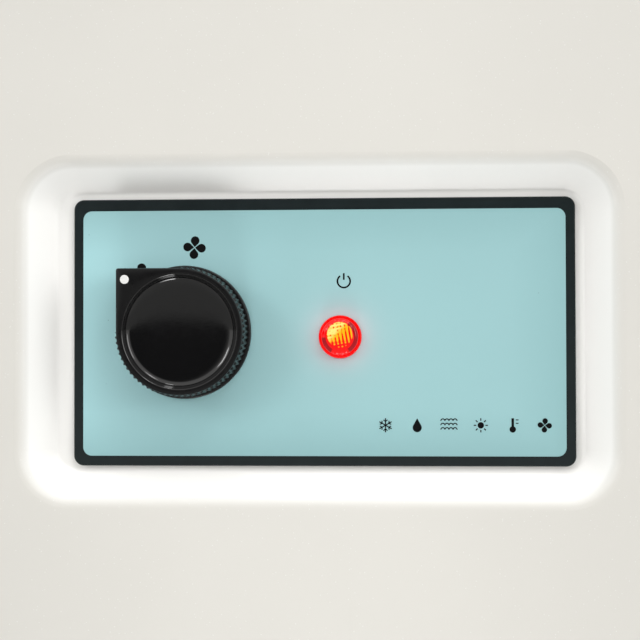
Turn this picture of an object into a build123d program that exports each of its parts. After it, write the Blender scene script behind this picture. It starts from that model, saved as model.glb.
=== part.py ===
"""Portable air conditioner on castors: a moulded casing with a recessed control pocket, a louvred
outlet, a condensate tank, and the compressor, coils and blowers inside.

Units are millimetres. The origin is on the floor under the middle of the casing, +Z is up and the
front, with the control pocket, faces -Y.
"""

import math
import os

from build123d import *

# ------------------------------------------------------------------ overall sizes
BODY_W = 360.0          # casing width, along X
BODY_D = 330.0          # casing depth, along Y
BODY_TOP = 700.0        # floor to the top of the cover
CORNER_R = 40.0         # casing's upright corners, in plan
TOP_ROUND = 24.0        # top edge of the cover
WALL = 3.0              # moulded wall of the casing
WHEEL_R = 22.0          # castor wheel
PAN_Z = 2 * WHEEL_R + 6         # floor to the underside of the base pan
SHELL_Z = PAN_Z + 6     # floor to the lower edge of the shells
SEAM_Z = 604.0          # joint between the shells and the top cover
SPLIT_Z = 428.0         # joint between the two rear panels
SEAM_GAP = 0.6          # open line between neighbouring shells
SEAM_CHAMFER = 0.8
LIP_DEPTH, LIP_T = 5.0, 1.6             # cover's lip inside the shells
TONGUE_LAP, TONGUE_ROOT, TONGUE_T = 22.0, 10.0, 2.5
FIT = 0.3               # clearance between parts that nest
RUN_FIT = 0.05          # radial clearance of a pin in its hole

FRONT_Y = -BODY_D / 2
REAR_Y = BODY_D / 2
SIDE_X = BODY_W / 2

# ------------------------------------------------------------------ control pocket and plate
PANEL_Z = 500.0         # height of the middle of the control plate
PLATE_W, PLATE_H, PLATE_R, PLATE_T = 150.0, 80.0, 3.0, 1.6
BORDER_SIDE, BORDER_TOP, BORDER_BOTTOM = 2.9, 3.5, 3.0
OVERLAY_T, OVERLAY_R = 0.25, 2.6
POCKET_DEPTH = 10.0
POCKET_GROW_X, POCKET_GROW_Z = 4.0, 1.6     # floor's sharp corner line, outside the plate
POCKET_SHIFT_X, POCKET_SHIFT_Z = -1.3, 0.25    # pocket's middle, from the plate's
POCKET_RUN = 9.0            # how far the walls lean out
POCKET_RIM_CORNER, POCKET_FLOOR_CORNER = 15.0, 6.0
POCKET_RIM_R, POCKET_FLOOR_R = 4.0, 1.5

# ------------------------------------------------------------------ knob, switch and pilot lamp
KNOB_X = -41.1          # knob's axis, from the plate's middle
KNOB_GAP = 0.6          # knob's underside above the overlay
KNOB_H = 13.0
KNOB_FLANGE_R, KNOB_FLANGE_T = 19.9, 2.0
KNOB_GRIP_R, KNOB_TEETH, KNOB_TOOTH_DEPTH = 19.1, 72, 0.5
KNOB_CAP_R, KNOB_CAP_T = 18.5, 1.2
KNOB_POINTER_R, KNOB_TIP_R = 18.6, 0.6      # half the pointer's square, and its corner
KNOB_POINTER_LIFT = 1.0     # underside of the pointer above the flange
KNOB_DISH_R, KNOB_DISH_DEPTH, KNOB_DISH_LEAN = 16.8, 2.2, 1.6
KNOB_INSERT_T = 0.8
KNOB_CAVITY_R, KNOB_CAVITY_H = 15.0, 5.0
DOT_R, DOT_T, DOT_INSET_X, DOT_INSET_Z = 1.3, 0.4, 2.6, 3.3
SHAFT_R = 3.0
BUSH_R, BUSH_OUT = 4.9, 3.2     # switch's threaded bush and how far it stands in front of the plate
HOLE_SLACK = 0.2
SWITCH_W, SWITCH_T = 28.0, 20.0
NUT_FLATS, NUT_T = 14.0, 2.2
LAMP_X, LAMP_DZ = 5.3, -1.5     # pilot lamp, from the plate's middle
LAMP_R, LAMP_FLANGE_T, LAMP_LENS_R, LAMP_LENS_H = 6.4, 1.1, 5.5, 3.6
LAMP_BODY_R, LAMP_BODY_LEN = 5.0, 26.0

# ------------------------------------------------------------------ louvred outlet
LOUVRE_Z = 640.5
LOUVRE_W, LOUVRE_H, LOUVRE_WALL, LOUVRE_DEPTH = 256.0, 53.0, 2.2, 61.0
LOUVRE_FLANGE, LOUVRE_FLANGE_T, LOUVRE_CORNER = 5.6, 2.0, 4.0
END_GAP = 0.6           # between a blade's end and the frame
BLADES, BLADE_PITCH, BLADE_CHORD, BLADE_T = 4, 13.0, 12.0, 1.8
BLADE_Y = FRONT_Y + 11.0        # blades' pivots
VANES, VANE_PITCH, VANE_CHORD, VANE_T = 5, 46.0, 26.0, 1.6
VANE_Y = FRONT_Y + 39.0         # vanes' pivots
PIVOT_R, LINK_PIN_R, VANE_PIN_R, LINK_T, LINK_W = 1.5, 1.0, 0.75, 2.0, 3.0
LINK_SLOT = 3.5
BLADE_LINK_X, BLADE_LINK_OFFSET, BLADE_SLOT_START = 112.0, 4.5, 0.5
VANE_LINK_OFFSET, VANE_SLOT_START = 9.0, 4.0
TAB_W, TAB_LEN, TAB_T = 18.0, 4.0, 3.0

# ------------------------------------------------------------------ rear face
GRILLE_W, GRILLE_BORDER, GRILLE_T, GRILLE_CORNER = 250.0, 8.0, 8.0, 8.0
SLAT_PITCH, SLAT_T, SLAT_TILT = 9.0, 1.6, 30.0
INTAKE_Z, INTAKE_H = 520.0, 148.0
EXHAUST_Z, EXHAUST_R, EXHAUST_WALL, EXHAUST_OUT = 348.0, 65.0, 3.0, 12.0
EXHAUST_FLANGE_R, EXHAUST_FLANGE_T, EXHAUST_IN, EXHAUST_HOLE_R = 77.0, 3.0, 25.0, 70.0
CONDENSER_Z, CONDENSER_H = 172.0, 180.0
FILTER_T, FILTER_BORDER, FILTER_INSET = 6.0, 7.0, 7.0
GLAND_X, GLAND_Z, GLAND_R, GLAND_FLANGE_R, GLAND_BORE_R = 108.0, 312.0, 8.0, 12.0, 4.2

# ------------------------------------------------------------------ sides
HANDLE_Z, HANDLE_L, HANDLE_H, HANDLE_DEPTH = 520.0, 120.0, 46.0, 30.0
HANDLE_FLANGE, HANDLE_FLANGE_T, HANDLE_WALL, HANDLE_CORNER = 5.0, 1.6, 2.5, 12.0
VENT_SLOTS, VENT_PITCH, VENT_L, VENT_H, VENT_Z = 11, 14.0, 92.0, 5.0, 110.0
SCREW_R, SCREW_HEAD_R, SCREW_HEAD_T, SCREW_LEN = 2.0, 4.0, 2.4, 9.0
SCREW_Y, SCREW_HEIGHTS = 13.0, (84.0, 330.0, 586.0)

# ------------------------------------------------------------------ base, castors and tank
PAN_WALL, PAN_FLOOR, PAN_TOP = 2.5, 3.0, PAN_Z + 24
CASTOR_INSET_X, CASTOR_INSET_Y = 46.0, 45.0
WHEEL_W, AXLE_R, CASTOR_TRAIL = 17.0, 2.5, 14.0
TREAD_ROUND = 4.0
FORK_PLATE_R, FORK_PLATE_T, FORK_LEG_T, FORK_LEG_R = 18.0, 4.0, 3.0, 8.0
STEM_R, STEM_LEN, BOSS_R, BOSS_H = 5.0, 14.0, 9.0, 15.0
TANK_FRONT_W, TANK_FRONT_TOP, TANK_GAP, TANK_FRONT_T = 250.0, 200.0, 1.0, 3.0
TANK_DEPTH, TANK_WALL, TANK_SIDE, TANK_LIFT = BODY_D - 220, 2.5, 8.0, 3.0
GRIP_W, GRIP_H, GRIP_DEPTH = 96.0, 24.0, 14.0
DAM_T = 3.0
DRAIN_X, DRAIN_Z, DRAIN_R, DRAIN_WALL, DRAIN_OUT, DRAIN_HOLE_R = -100.0, PAN_Z + 16, 5.0, 2.0, 6.0, 9.5
PLUG_HEAD_R, PLUG_HEAD_T, PLUG_IN = 6.8, 4.0, 12.0

# ------------------------------------------------------------------ machinery
DECK_Z, DECK_T, DECK_RIM = 432.0, 3.0, 9.0
LEG_W = 10.0
LEG_PLACES = ((163.0, FRONT_Y + 101), (153.0, REAR_Y - 20))     # deck's legs, right-hand side
COIL_T, COIL_SIDE = 26.0, 50.0      # coil's thickness and the room beside it
EVAPORATOR_GAP, EVAPORATOR_H = 40.0, 158.0
CONDENSER_GAP, CONDENSER_COIL_H = 24.0, 198.0
BLOWER_Z, BLOWER_R, BLOWER_WHEEL_W = 528.0, 58.0, 46.0
FAN_Z, FAN_R, FAN_WHEEL_W = 168.0, 66.0, 46.0
SCROLL_GROW, SCROLL_SHIFT, SCROLL_WALL, SCROLL_FOOT = 16.0, 7.0, 2.0, 50.0
WHEEL_CLEAR = 5.0
ROTOR_BLADES, ROTOR_BLADE_T, ROTOR_BLADE_DEPTH = 30, 1.6, 11.0
MOTOR_R, MOTOR_LEN, MOTOR_GAP, MOTOR_SHAFT_R, MOTOR_POST_R = 38.0, 52.0, 2.0, 4.0, 3.0
NECK_W = 62.0
DUCT_TOP = 682.0
COMPRESSOR_R, COMPRESSOR_H, COMPRESSOR_DOME = 52.0, 178.0, 22.0
COMPRESSOR_SIDE = 30.0
ACCUMULATOR_R, ACCUMULATOR_H = 21.0, 120.0
FOOT_T, FOOT_R, FOOT_REACH, GROMMET_R, GROMMET_H = 3.0, 13.0, 60.0, 9.0, 10.0
PIPE_R, PIPE_BEND, FITTING_H = 4.0, 14.0, 6.0
CAPACITOR_R, CAPACITOR_H = 20.0, 72.0


# ------------------------------------------------------------------ plain shapes
def block(x0, x1, y0, y1, z0, z1):
    """A box between two corners."""
    return Pos((x0 + x1) / 2, (y0 + y1) / 2, (z0 + z1) / 2) * Box(x1 - x0, y1 - y0, z1 - z0)


def rod_x(radius, x0, x1, y, z):
    """A round bar along X."""
    return Pos((x0 + x1) / 2, y, z) * Rot(0, 90, 0) * Cylinder(radius, x1 - x0)


def rod_y(radius, y0, y1, x, z):
    """A round bar along Y."""
    return Pos(x, (y0 + y1) / 2, z) * Rot(90, 0, 0) * Cylinder(radius, y1 - y0)


def rod_z(radius, z0, z1, x, y):
    """A round bar along Z."""
    return Pos(x, y, (z0 + z1) / 2) * Cylinder(radius, z1 - z0)


def facing_front(y, x=0.0, z=0.0):
    """A work plane whose normal is -Y, with its own x along +X and its own y along +Z."""
    return Plane(origin=(x, y, z), x_dir=(1, 0, 0), z_dir=(0, -1, 0))


def plate_y(width, height, corner, y0, y1, x=0.0, z=0.0):
    """A rounded rectangular plate that faces along Y, from y0 back to y1."""
    outline = facing_front(y1, x, z) * RectangleRounded(width, height, corner)
    return extrude(outline, amount=y1 - y0)


def plate_x(length, height, corner, x0, x1, y=0.0, z=0.0):
    """A rounded rectangular plate that faces along X, from x0 to x1."""
    plane = Plane(origin=(x0, y, z), x_dir=(0, 1, 0), z_dir=(1, 0, 0))
    return extrude(plane * RectangleRounded(length, height, corner), amount=x1 - x0)


def hex_nut(flats, bore, y0, y1, x, z):
    """A plain hexagon nut with its axis along Y."""
    outline = facing_front(y1, x, z) * RegularPolygon(flats / math.sqrt(3), 6)
    return extrude(outline, amount=y1 - y0) - rod_y(bore, y0 - 1, y1 + 1, x, z)


def casing(grow, z0, z1):
    """The casing's plan outline as an upright prism, grown outwards by grow."""
    outline = RectangleRounded(BODY_W + 2 * grow, BODY_D + 2 * grow, CORNER_R + grow)
    return Pos(0, 0, z0) * extrude(outline, amount=z1 - z0)


# ------------------------------------------------------------------ casing
def pocket(grow):
    """The control pocket as a solid, from the casing's front face to its floor, grown by grow."""
    floor_w = PLATE_W + 2 * (POCKET_GROW_X + grow)
    floor_h = PLATE_H + 2 * (POCKET_GROW_Z + grow)
    rim = RectangleRounded(floor_w + 2 * POCKET_RUN, floor_h + 2 * POCKET_RUN, POCKET_RIM_CORNER + grow)
    floor = RectangleRounded(floor_w, floor_h, POCKET_FLOOR_CORNER + grow)
    return loft(
        [
            facing_front(FRONT_Y + POCKET_DEPTH + grow, POCKET_SHIFT_X, PANEL_Z + POCKET_SHIFT_Z) * floor,
            facing_front(FRONT_Y, POCKET_SHIFT_X, PANEL_Z + POCKET_SHIFT_Z) * rim,
        ],
        ruled=True,
    )


def handle_openings(grow):
    """The two side openings that the handle cups fill, grown by grow."""
    left = plate_x(HANDLE_L + 2 * grow, HANDLE_H + 2 * grow, HANDLE_CORNER + grow,
                   -SIDE_X - 5, -SIDE_X + WALL + 5, 0, HANDLE_Z)
    return left + mirror(left, Plane.YZ)


def shell_wall():
    """The upright wall of the casing as a closed ring, chamfered along the seam under the cover."""
    outer = casing(0, SHELL_Z, SEAM_Z)
    outer = chamfer(outer.edges().group_by(Axis.Z)[-1], SEAM_CHAMFER)
    return outer - casing(-WALL, SHELL_Z - 1, SEAM_Z + 1)


def seam_tongue():
    """Inner strips on the front shell that lap behind the rear shell and take its screws."""
    face = -WALL - FIT
    z0, z1 = PAN_TOP + 1, SEAM_Z - LIP_DEPTH - 1
    strips = casing(face, z0, z1) - casing(face - TONGUE_T, z0 - 1, z1 + 1)
    roots = casing(0.5 - WALL, z0, z1) - casing(face - TONGUE_T, z0 - 1, z1 + 1)
    lap = block(-BODY_W, BODY_W, -TONGUE_ROOT, TONGUE_LAP, 0, BODY_TOP)
    root = block(-BODY_W, BODY_W, -TONGUE_ROOT, -SEAM_GAP, 0, BODY_TOP)
    return (strips & lap) + (roots & root)


def front_shell():
    """Front half of the casing wall, with the control pocket and the tank's doorway."""
    half = block(-BODY_W, BODY_W, -BODY_D, -SEAM_GAP / 2, 0, BODY_TOP)
    back_of_pocket = pocket(WALL) & block(-SIDE_X + WALL, SIDE_X - WALL, FRONT_Y + WALL / 2, 0, 0, BODY_TOP)
    shell = (shell_wall() & half) + back_of_pocket - pocket(0)
    rim = [
        e for e in shell.edges()
        if abs(e.bounding_box().min.Y - FRONT_Y) < 0.01
        and abs(e.bounding_box().max.Y - FRONT_Y) < 0.01
        and PANEL_Z - PLATE_H < e.bounding_box().min.Z
        and e.bounding_box().max.Z < PANEL_Z + PLATE_H
    ]
    shell = fillet(rim, POCKET_RIM_R)
    floor_corner = [
        e for e in shell.edges()
        if abs(e.bounding_box().min.Y - (FRONT_Y + POCKET_DEPTH)) < 0.01
        and abs(e.bounding_box().max.Y - (FRONT_Y + POCKET_DEPTH)) < 0.01
    ]
    shell = fillet(floor_corner, POCKET_FLOOR_R)
    shell -= panel_holes(FRONT_Y, FRONT_Y + POCKET_DEPTH + WALL + 5)
    half_tank = TANK_FRONT_W / 2
    shell -= block(-half_tank, half_tank, FRONT_Y - 5, FRONT_Y + 30, SHELL_Z - 5, TANK_FRONT_TOP)
    tongue = seam_tongue()
    for z in SCREW_HEIGHTS:
        tongue -= rod_x(SCREW_R + RUN_FIT, -SIDE_X - 5, SIDE_X + 5, SCREW_Y, z)
    return shell + tongue - handle_openings(0)


def rear_wall(z0, z1):
    """The rear half of the casing wall between two heights, with the handles' notches."""
    half = block(-BODY_W, BODY_W, SEAM_GAP / 2, BODY_D, z0, z1)
    wall = (shell_wall() & half) - handle_openings(0)
    for z in SCREW_HEIGHTS:
        wall -= rod_x(SCREW_R + RUN_FIT, -SIDE_X - 5, SIDE_X + 5, SCREW_Y, z)
    return wall


def rear_shell_upper():
    """Upper rear panel, with the intake grille's opening."""
    wall = rear_wall(SPLIT_Z + SEAM_GAP, SEAM_Z)
    return wall - plate_y(GRILLE_W, INTAKE_H, GRILLE_CORNER, REAR_Y - 20, REAR_Y + 5, 0, INTAKE_Z)


def rear_shell_lower():
    """Lower rear panel, with its exhaust, cord and drain openings, its grille's opening and side vents."""
    wall = rear_wall(SHELL_Z, SPLIT_Z)
    wall -= plate_y(GRILLE_W, CONDENSER_H, GRILLE_CORNER, REAR_Y - 20, REAR_Y + 5, 0, CONDENSER_Z)
    wall -= rod_y(EXHAUST_HOLE_R, REAR_Y - 20, REAR_Y + 5, 0, EXHAUST_Z)
    wall -= rod_y(GLAND_R + FIT, REAR_Y - 20, REAR_Y + 5, GLAND_X, GLAND_Z)
    wall -= rod_y(DRAIN_HOLE_R, REAR_Y - 20, REAR_Y + 5, DRAIN_X, DRAIN_Z)
    vent_y = REAR_Y - CORNER_R - VENT_L / 2 - 4
    for row in range(VENT_SLOTS):
        z = VENT_Z + row * VENT_PITCH
        for side in (-1, 1):
            x0 = side * SIDE_X - 10
            wall -= plate_x(VENT_L, VENT_H, VENT_H / 2 - 0.01, x0, x0 + 20, vent_y, z)
    return wall


def shell_screws():
    """Pan-head screws that hold the rear shell, three a side."""
    screws = []
    for z in SCREW_HEIGHTS:
        for side in (-1, 1):
            head = rod_x(SCREW_HEAD_R, 0, SCREW_HEAD_T, SCREW_Y, z)
            head = fillet(head.edges().group_by(Axis.X)[-1], SCREW_HEAD_T / 2)
            x0, x1 = SCREW_HEAD_T - 1.2, SCREW_HEAD_T + 1
            drive = block(x0, x1, SCREW_Y - 0.5, SCREW_Y + 0.5, z - 2.2, z + 2.2)
            drive += block(x0, x1, SCREW_Y - 2.2, SCREW_Y + 2.2, z - 0.5, z + 0.5)
            screw = Pos(SIDE_X, 0, 0) * (head + rod_x(SCREW_R, -SCREW_LEN, 0, SCREW_Y, z) - drive)
            screws.append(screw if side > 0 else mirror(screw, Plane.YZ))
    return Compound(children=[s.solid() for s in screws])


def top_cover():
    """Domed lid of the casing, with the outlet opening and a lip that drops into the shells."""
    outer = casing(0, SEAM_Z, BODY_TOP)
    outer = fillet(outer.edges().group_by(Axis.Z)[-1], TOP_ROUND)
    outer = chamfer(outer.edges().group_by(Axis.Z)[0], SEAM_CHAMFER)
    tray_w, tray_d = BODY_W - 2 * CORNER_R - 20, BODY_D - 2 * CORNER_R - 40
    outer -= Pos(0, 10, BODY_TOP - 1.2) * extrude(RectangleRounded(tray_w, tray_d, 22), amount=5)
    inner = casing(-WALL, SEAM_Z - 1, BODY_TOP - WALL)
    inner = fillet(inner.edges().group_by(Axis.Z)[-1], TOP_ROUND - WALL)
    lip = casing(0.5 - WALL, SEAM_Z + 1, SEAM_Z + LIP_DEPTH)
    lip += casing(-WALL - FIT, SEAM_Z - LIP_DEPTH, SEAM_Z + 1)
    lip -= casing(-WALL - FIT - LIP_T, SEAM_Z - 10, SEAM_Z + 10)
    lip -= handle_openings(FIT)
    cover = outer - inner + lip
    opening_w = LOUVRE_W + 2 * (LOUVRE_WALL + FIT)
    opening_h = LOUVRE_H + 2 * (LOUVRE_WALL + FIT)
    return cover - plate_y(opening_w, opening_h, LOUVRE_CORNER, FRONT_Y - 5, FRONT_Y + 20, 0, LOUVRE_Z)


def side_handles():
    """The two moulded grip cups, one in each side."""
    x1 = SIDE_X + HANDLE_FLANGE_T
    flange_l, flange_h = HANDLE_L + 2 * HANDLE_FLANGE, HANDLE_H + 2 * HANDLE_FLANGE
    flange = plate_x(flange_l, flange_h, HANDLE_CORNER + HANDLE_FLANGE, SIDE_X, x1, 0, HANDLE_Z)
    flange = fillet(flange.edges().group_by(Axis.X)[-1], HANDLE_FLANGE_T * 0.6)
    cup = plate_x(HANDLE_L - 2 * FIT, HANDLE_H - 2 * FIT, HANDLE_CORNER - FIT,
                  SIDE_X - HANDLE_DEPTH, x1, 0, HANDLE_Z)
    inset = 2 * (HANDLE_WALL + FIT)
    hollow = plate_x(HANDLE_L - inset, HANDLE_H - inset, HANDLE_CORNER - HANDLE_WALL - FIT,
                     SIDE_X - HANDLE_DEPTH + HANDLE_WALL, x1 + 1, 0, HANDLE_Z)
    hollow = fillet(hollow.edges().group_by(Axis.X)[0], 4)
    right = flange + cup - hollow
    return Compound(children=[right.solid(), mirror(right, Plane.YZ).solid()])


# ------------------------------------------------------------------ control panel
PLATE_FACE_Y = FRONT_Y + POCKET_DEPTH - PLATE_T
OVERLAY_FACE_Y = PLATE_FACE_Y - OVERLAY_T
KNOB_BASE_Y = OVERLAY_FACE_Y - KNOB_GAP
SWITCH_FACE_Y = FRONT_Y + POCKET_DEPTH + WALL
LAMP_Z = PANEL_Z + LAMP_DZ


def panel_holes(y0, y1):
    """The holes for the switch's bush and the lamp's body."""
    return (rod_y(BUSH_R + HOLE_SLACK, y0, y1, KNOB_X, PANEL_Z)
            + rod_y(LAMP_BODY_R + HOLE_SLACK, y0, y1, LAMP_X, LAMP_Z))


def panel_plate():
    """Black plate on the pocket's floor. It shows as the border round the overlay."""
    plate = plate_y(PLATE_W, PLATE_H, PLATE_R, PLATE_FACE_Y, FRONT_Y + POCKET_DEPTH, 0, PANEL_Z)
    plate = fillet(plate.edges().group_by(Axis.Y)[0], 0.4)
    return plate - panel_holes(PLATE_FACE_Y - 5, PLATE_FACE_Y + 5)


def panel_overlay():
    """Thin coloured film on the plate, inside its border."""
    width = PLATE_W - 2 * BORDER_SIDE
    height = PLATE_H - BORDER_TOP - BORDER_BOTTOM
    z = PANEL_Z + (BORDER_BOTTOM - BORDER_TOP) / 2
    film = plate_y(width, height, OVERLAY_R, OVERLAY_FACE_Y, PLATE_FACE_Y, 0, z)
    return film - panel_holes(PLATE_FACE_Y - 5, PLATE_FACE_Y + 5)


def on_knob(shape):
    """Places a shape modelled on the knob's own axis, with its underside at height 0."""
    return facing_front(KNOB_BASE_Y, KNOB_X, PANEL_Z).location * shape


def pointer_square(radius, z0, z1, corner_round):
    """The square corner that makes the knob a pointer, up and to the left of its axis."""
    square = Pos(-radius / 2, radius / 2, z0) * extrude(Rectangle(radius, radius), amount=z1 - z0)
    tip = square.edges().filter_by(Axis.Z).sort_by(lambda e: e.center().X - e.center().Y)[0]
    return fillet(tip, corner_round)


def knob_body():
    """Pointer knob: a flange, a fluted grip, a teardrop cap with a dished top and a hollow underside."""
    flange = Pos(0, 0, KNOB_FLANGE_T / 2) * Cylinder(KNOB_FLANGE_R, KNOB_FLANGE_T)
    flange = fillet(flange.edges().group_by(Axis.Z)[-1], 0.8)
    teeth = []
    for i in range(2 * KNOB_TEETH):
        turn = math.pi * i / KNOB_TEETH
        reach = KNOB_GRIP_R - KNOB_TOOTH_DEPTH * (i % 2)
        teeth.append((reach * math.cos(turn), reach * math.sin(turn)))
    grip_top = KNOB_H - KNOB_CAP_T
    grip = extrude(make_face(Polyline(*teeth, close=True)), amount=grip_top)
    cap = Pos(0, 0, grip_top) * Cone(KNOB_GRIP_R - KNOB_TOOTH_DEPTH, KNOB_CAP_R, KNOB_CAP_T,
                                     align=(Align.CENTER, Align.CENTER, Align.MIN))
    pointer = pointer_square(KNOB_POINTER_R, KNOB_FLANGE_T + KNOB_POINTER_LIFT, KNOB_H, KNOB_TIP_R)
    pointer = chamfer(pointer.edges().group_by(Axis.Z)[-1], 0.35)
    body = flange + grip + cap + pointer
    dish = Pos(0, 0, KNOB_H - KNOB_DISH_DEPTH) * Cone(
        KNOB_DISH_R - KNOB_DISH_LEAN, KNOB_DISH_R, KNOB_DISH_DEPTH,
        align=(Align.CENTER, Align.CENTER, Align.MIN))
    seat = Cylinder(insert_radius() + RUN_FIT, KNOB_INSERT_T)
    seat = Pos(0, 0, KNOB_H - KNOB_DISH_DEPTH - KNOB_INSERT_T / 2) * seat
    cavity = Pos(0, 0, KNOB_CAVITY_H / 2) * Cylinder(KNOB_CAVITY_R, KNOB_CAVITY_H)
    bore_top = KNOB_H - KNOB_DISH_DEPTH - KNOB_INSERT_T - 1.5
    bore = Pos(0, 0, bore_top / 2) * Cylinder(SHAFT_R + RUN_FIT, bore_top)
    dot_hole = Pos(*dot_place(), KNOB_H - DOT_T / 2) * Cylinder(DOT_R + RUN_FIT, DOT_T)
    return on_knob((body - dish - seat - cavity - bore - dot_hole).solid())


def insert_radius():
    """Radius of the disc in the floor of the knob's dish."""
    return KNOB_DISH_R - KNOB_DISH_LEAN - 1.2


def dot_place():
    """The pointer dot's place on the knob's top."""
    return (DOT_INSET_X - KNOB_POINTER_R, KNOB_POINTER_R - DOT_INSET_Z)


def knob_insert():
    """Smooth disc set in the floor of the knob's dish."""
    disc = Pos(0, 0, KNOB_H - KNOB_DISH_DEPTH - KNOB_INSERT_T / 2) * Cylinder(insert_radius(), KNOB_INSERT_T)
    return on_knob(disc)


def knob_dot():
    """White marker inlaid near the pointer's tip."""
    return on_knob(Pos(*dot_place(), KNOB_H - DOT_T / 2) * Cylinder(DOT_R, DOT_T))


def switch_shaft():
    """The selector's turning shaft, from inside the switch up into the knob."""
    top = KNOB_BASE_Y - (KNOB_H - KNOB_DISH_DEPTH - KNOB_INSERT_T - 2.0)
    return rod_y(SHAFT_R, top, SWITCH_FACE_Y + SWITCH_T / 2, KNOB_X, PANEL_Z)


def selector_switch():
    """Rotary selector behind the pocket, with its threaded bush through the plate and four tags."""
    body = plate_y(SWITCH_W, SWITCH_W, 3, SWITCH_FACE_Y, SWITCH_FACE_Y + SWITCH_T, KNOB_X, PANEL_Z)
    body += rod_y(BUSH_R, OVERLAY_FACE_Y - BUSH_OUT, SWITCH_FACE_Y + 1, KNOB_X, PANEL_Z)
    bore_end = SWITCH_FACE_Y + SWITCH_T / 2 + 0.5
    body -= rod_y(SHAFT_R + RUN_FIT, OVERLAY_FACE_Y - 10, bore_end, KNOB_X, PANEL_Z)
    back = SWITCH_FACE_Y + SWITCH_T
    for dx in (-9, 9):
        for dz in (-8, 8):
            x, z = KNOB_X + dx, PANEL_Z + dz
            body += block(x - 2.4, x + 2.4, back - 1, back + 8, z - 0.4, z + 0.4)
    return body


def panel_nuts():
    """The nut on the selector's bush, under the knob, and the one on the lamp, behind the pocket."""
    front = hex_nut(NUT_FLATS, BUSH_R + RUN_FIT, OVERLAY_FACE_Y - NUT_T, OVERLAY_FACE_Y, KNOB_X, PANEL_Z)
    back = hex_nut(NUT_FLATS, LAMP_BODY_R + RUN_FIT, SWITCH_FACE_Y, SWITCH_FACE_Y + NUT_T, LAMP_X, LAMP_Z)
    return Compound(children=[front.solid(), back.solid()])


def lamp_lens():
    """Pilot lamp's lens: a flange on the overlay and a low dome."""
    flange = Pos(0, 0, LAMP_FLANGE_T / 2) * Cylinder(LAMP_R, LAMP_FLANGE_T)
    dome = Pos(0, 0, LAMP_LENS_H / 2) * Cylinder(LAMP_LENS_R, LAMP_LENS_H)
    lens = fillet(flange.edges().group_by(Axis.Z)[-1], 0.5) + fillet(dome.edges().group_by(Axis.Z)[-1], 1.2)
    return facing_front(OVERLAY_FACE_Y, LAMP_X, LAMP_Z).location * lens


def lamp_body():
    """Neon lamp's barrel behind the lens, with two tags."""
    back = OVERLAY_FACE_Y + LAMP_BODY_LEN
    body = rod_y(LAMP_BODY_R, OVERLAY_FACE_Y, back, LAMP_X, LAMP_Z)
    for dx in (-2.5, 2.5):
        x = LAMP_X + dx
        body += block(x - 0.4, x + 0.4, back - 1, back + 8, LAMP_Z - 1.5, LAMP_Z + 1.5)
    return body


# ------------------------------------------------------------------ louvred outlet
def blade_heights():
    """Heights of the blades' pivots, lowest first."""
    return [LOUVRE_Z + (i - (BLADES - 1) / 2) * BLADE_PITCH for i in range(BLADES)]


def vane_places():
    """X of the vanes' pivots, left first."""
    return [(i - (VANES - 1) / 2) * VANE_PITCH for i in range(VANES)]


def louvre_frame():
    """Bezel and tunnel that carry the blades and vanes."""
    outer_w, outer_h = LOUVRE_W + 2 * LOUVRE_WALL, LOUVRE_H + 2 * LOUVRE_WALL
    flange = plate_y(outer_w + 2 * LOUVRE_FLANGE, outer_h + 2 * LOUVRE_FLANGE, LOUVRE_CORNER + LOUVRE_FLANGE,
                     FRONT_Y - LOUVRE_FLANGE_T, FRONT_Y, 0, LOUVRE_Z)
    flange = fillet(flange.edges().group_by(Axis.Y)[0], 1.2)
    y0, y1 = FRONT_Y - 0.1, FRONT_Y + LOUVRE_DEPTH
    tunnel = plate_y(outer_w, outer_h, LOUVRE_CORNER - FIT, y0, y1, 0, LOUVRE_Z)
    frame = flange + tunnel
    frame -= plate_y(LOUVRE_W, LOUVRE_H, 1.5, FRONT_Y - 10, FRONT_Y + LOUVRE_DEPTH + 5, 0, LOUVRE_Z)
    for z in blade_heights():
        frame -= rod_x(PIVOT_R + RUN_FIT, -outer_w / 2 - 1, outer_w / 2 + 1, BLADE_Y, z)
    for x in vane_places():
        frame -= rod_z(PIVOT_R + RUN_FIT, LOUVRE_Z - outer_h / 2 - 1, LOUVRE_Z + outer_h / 2 + 1, x, VANE_Y)
    return frame


def louvre_blade(z, with_tab):
    """One level blade on its two pivot pins, slotted for the link bar."""
    half = LOUVRE_W / 2 - END_GAP
    end = Plane(origin=(-half, BLADE_Y, z), x_dir=(0, 1, 0), z_dir=(1, 0, 0))
    section = end * SlotOverall(BLADE_CHORD, BLADE_T)
    blade = extrude(section, amount=2 * half)
    blade += rod_x(PIVOT_R, -LOUVRE_W / 2 - LOUVRE_WALL, LOUVRE_W / 2 + LOUVRE_WALL, BLADE_Y, z)
    slot_end = BLADE_Y + BLADE_CHORD
    blade -= block(BLADE_LINK_X - LINK_SLOT / 2, BLADE_LINK_X + LINK_SLOT / 2,
                   BLADE_Y + BLADE_SLOT_START, slot_end, z - 5, z + 5)
    blade += rod_x(LINK_PIN_R, BLADE_LINK_X - LINK_SLOT / 2 - 1, BLADE_LINK_X + LINK_SLOT / 2 + 1,
                   BLADE_Y + BLADE_LINK_OFFSET, z)
    if with_tab:
        front = BLADE_Y - BLADE_CHORD / 2
        tab = plate_y(TAB_W, TAB_T, TAB_T / 2 - 0.01, front - TAB_LEN, front + 2, 0, z)
        blade += tab
    return blade


def louvre_link():
    """Upright bar that makes the blades tilt together."""
    y = BLADE_Y + BLADE_LINK_OFFSET
    heights = blade_heights()
    bar = block(BLADE_LINK_X - LINK_T / 2, BLADE_LINK_X + LINK_T / 2, y - LINK_W / 2, y + LINK_W / 2,
                heights[0] - 3, heights[-1] + 3)
    for z in heights:
        bar -= rod_x(LINK_PIN_R + RUN_FIT, BLADE_LINK_X - 5, BLADE_LINK_X + 5, y, z)
    return bar


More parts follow.
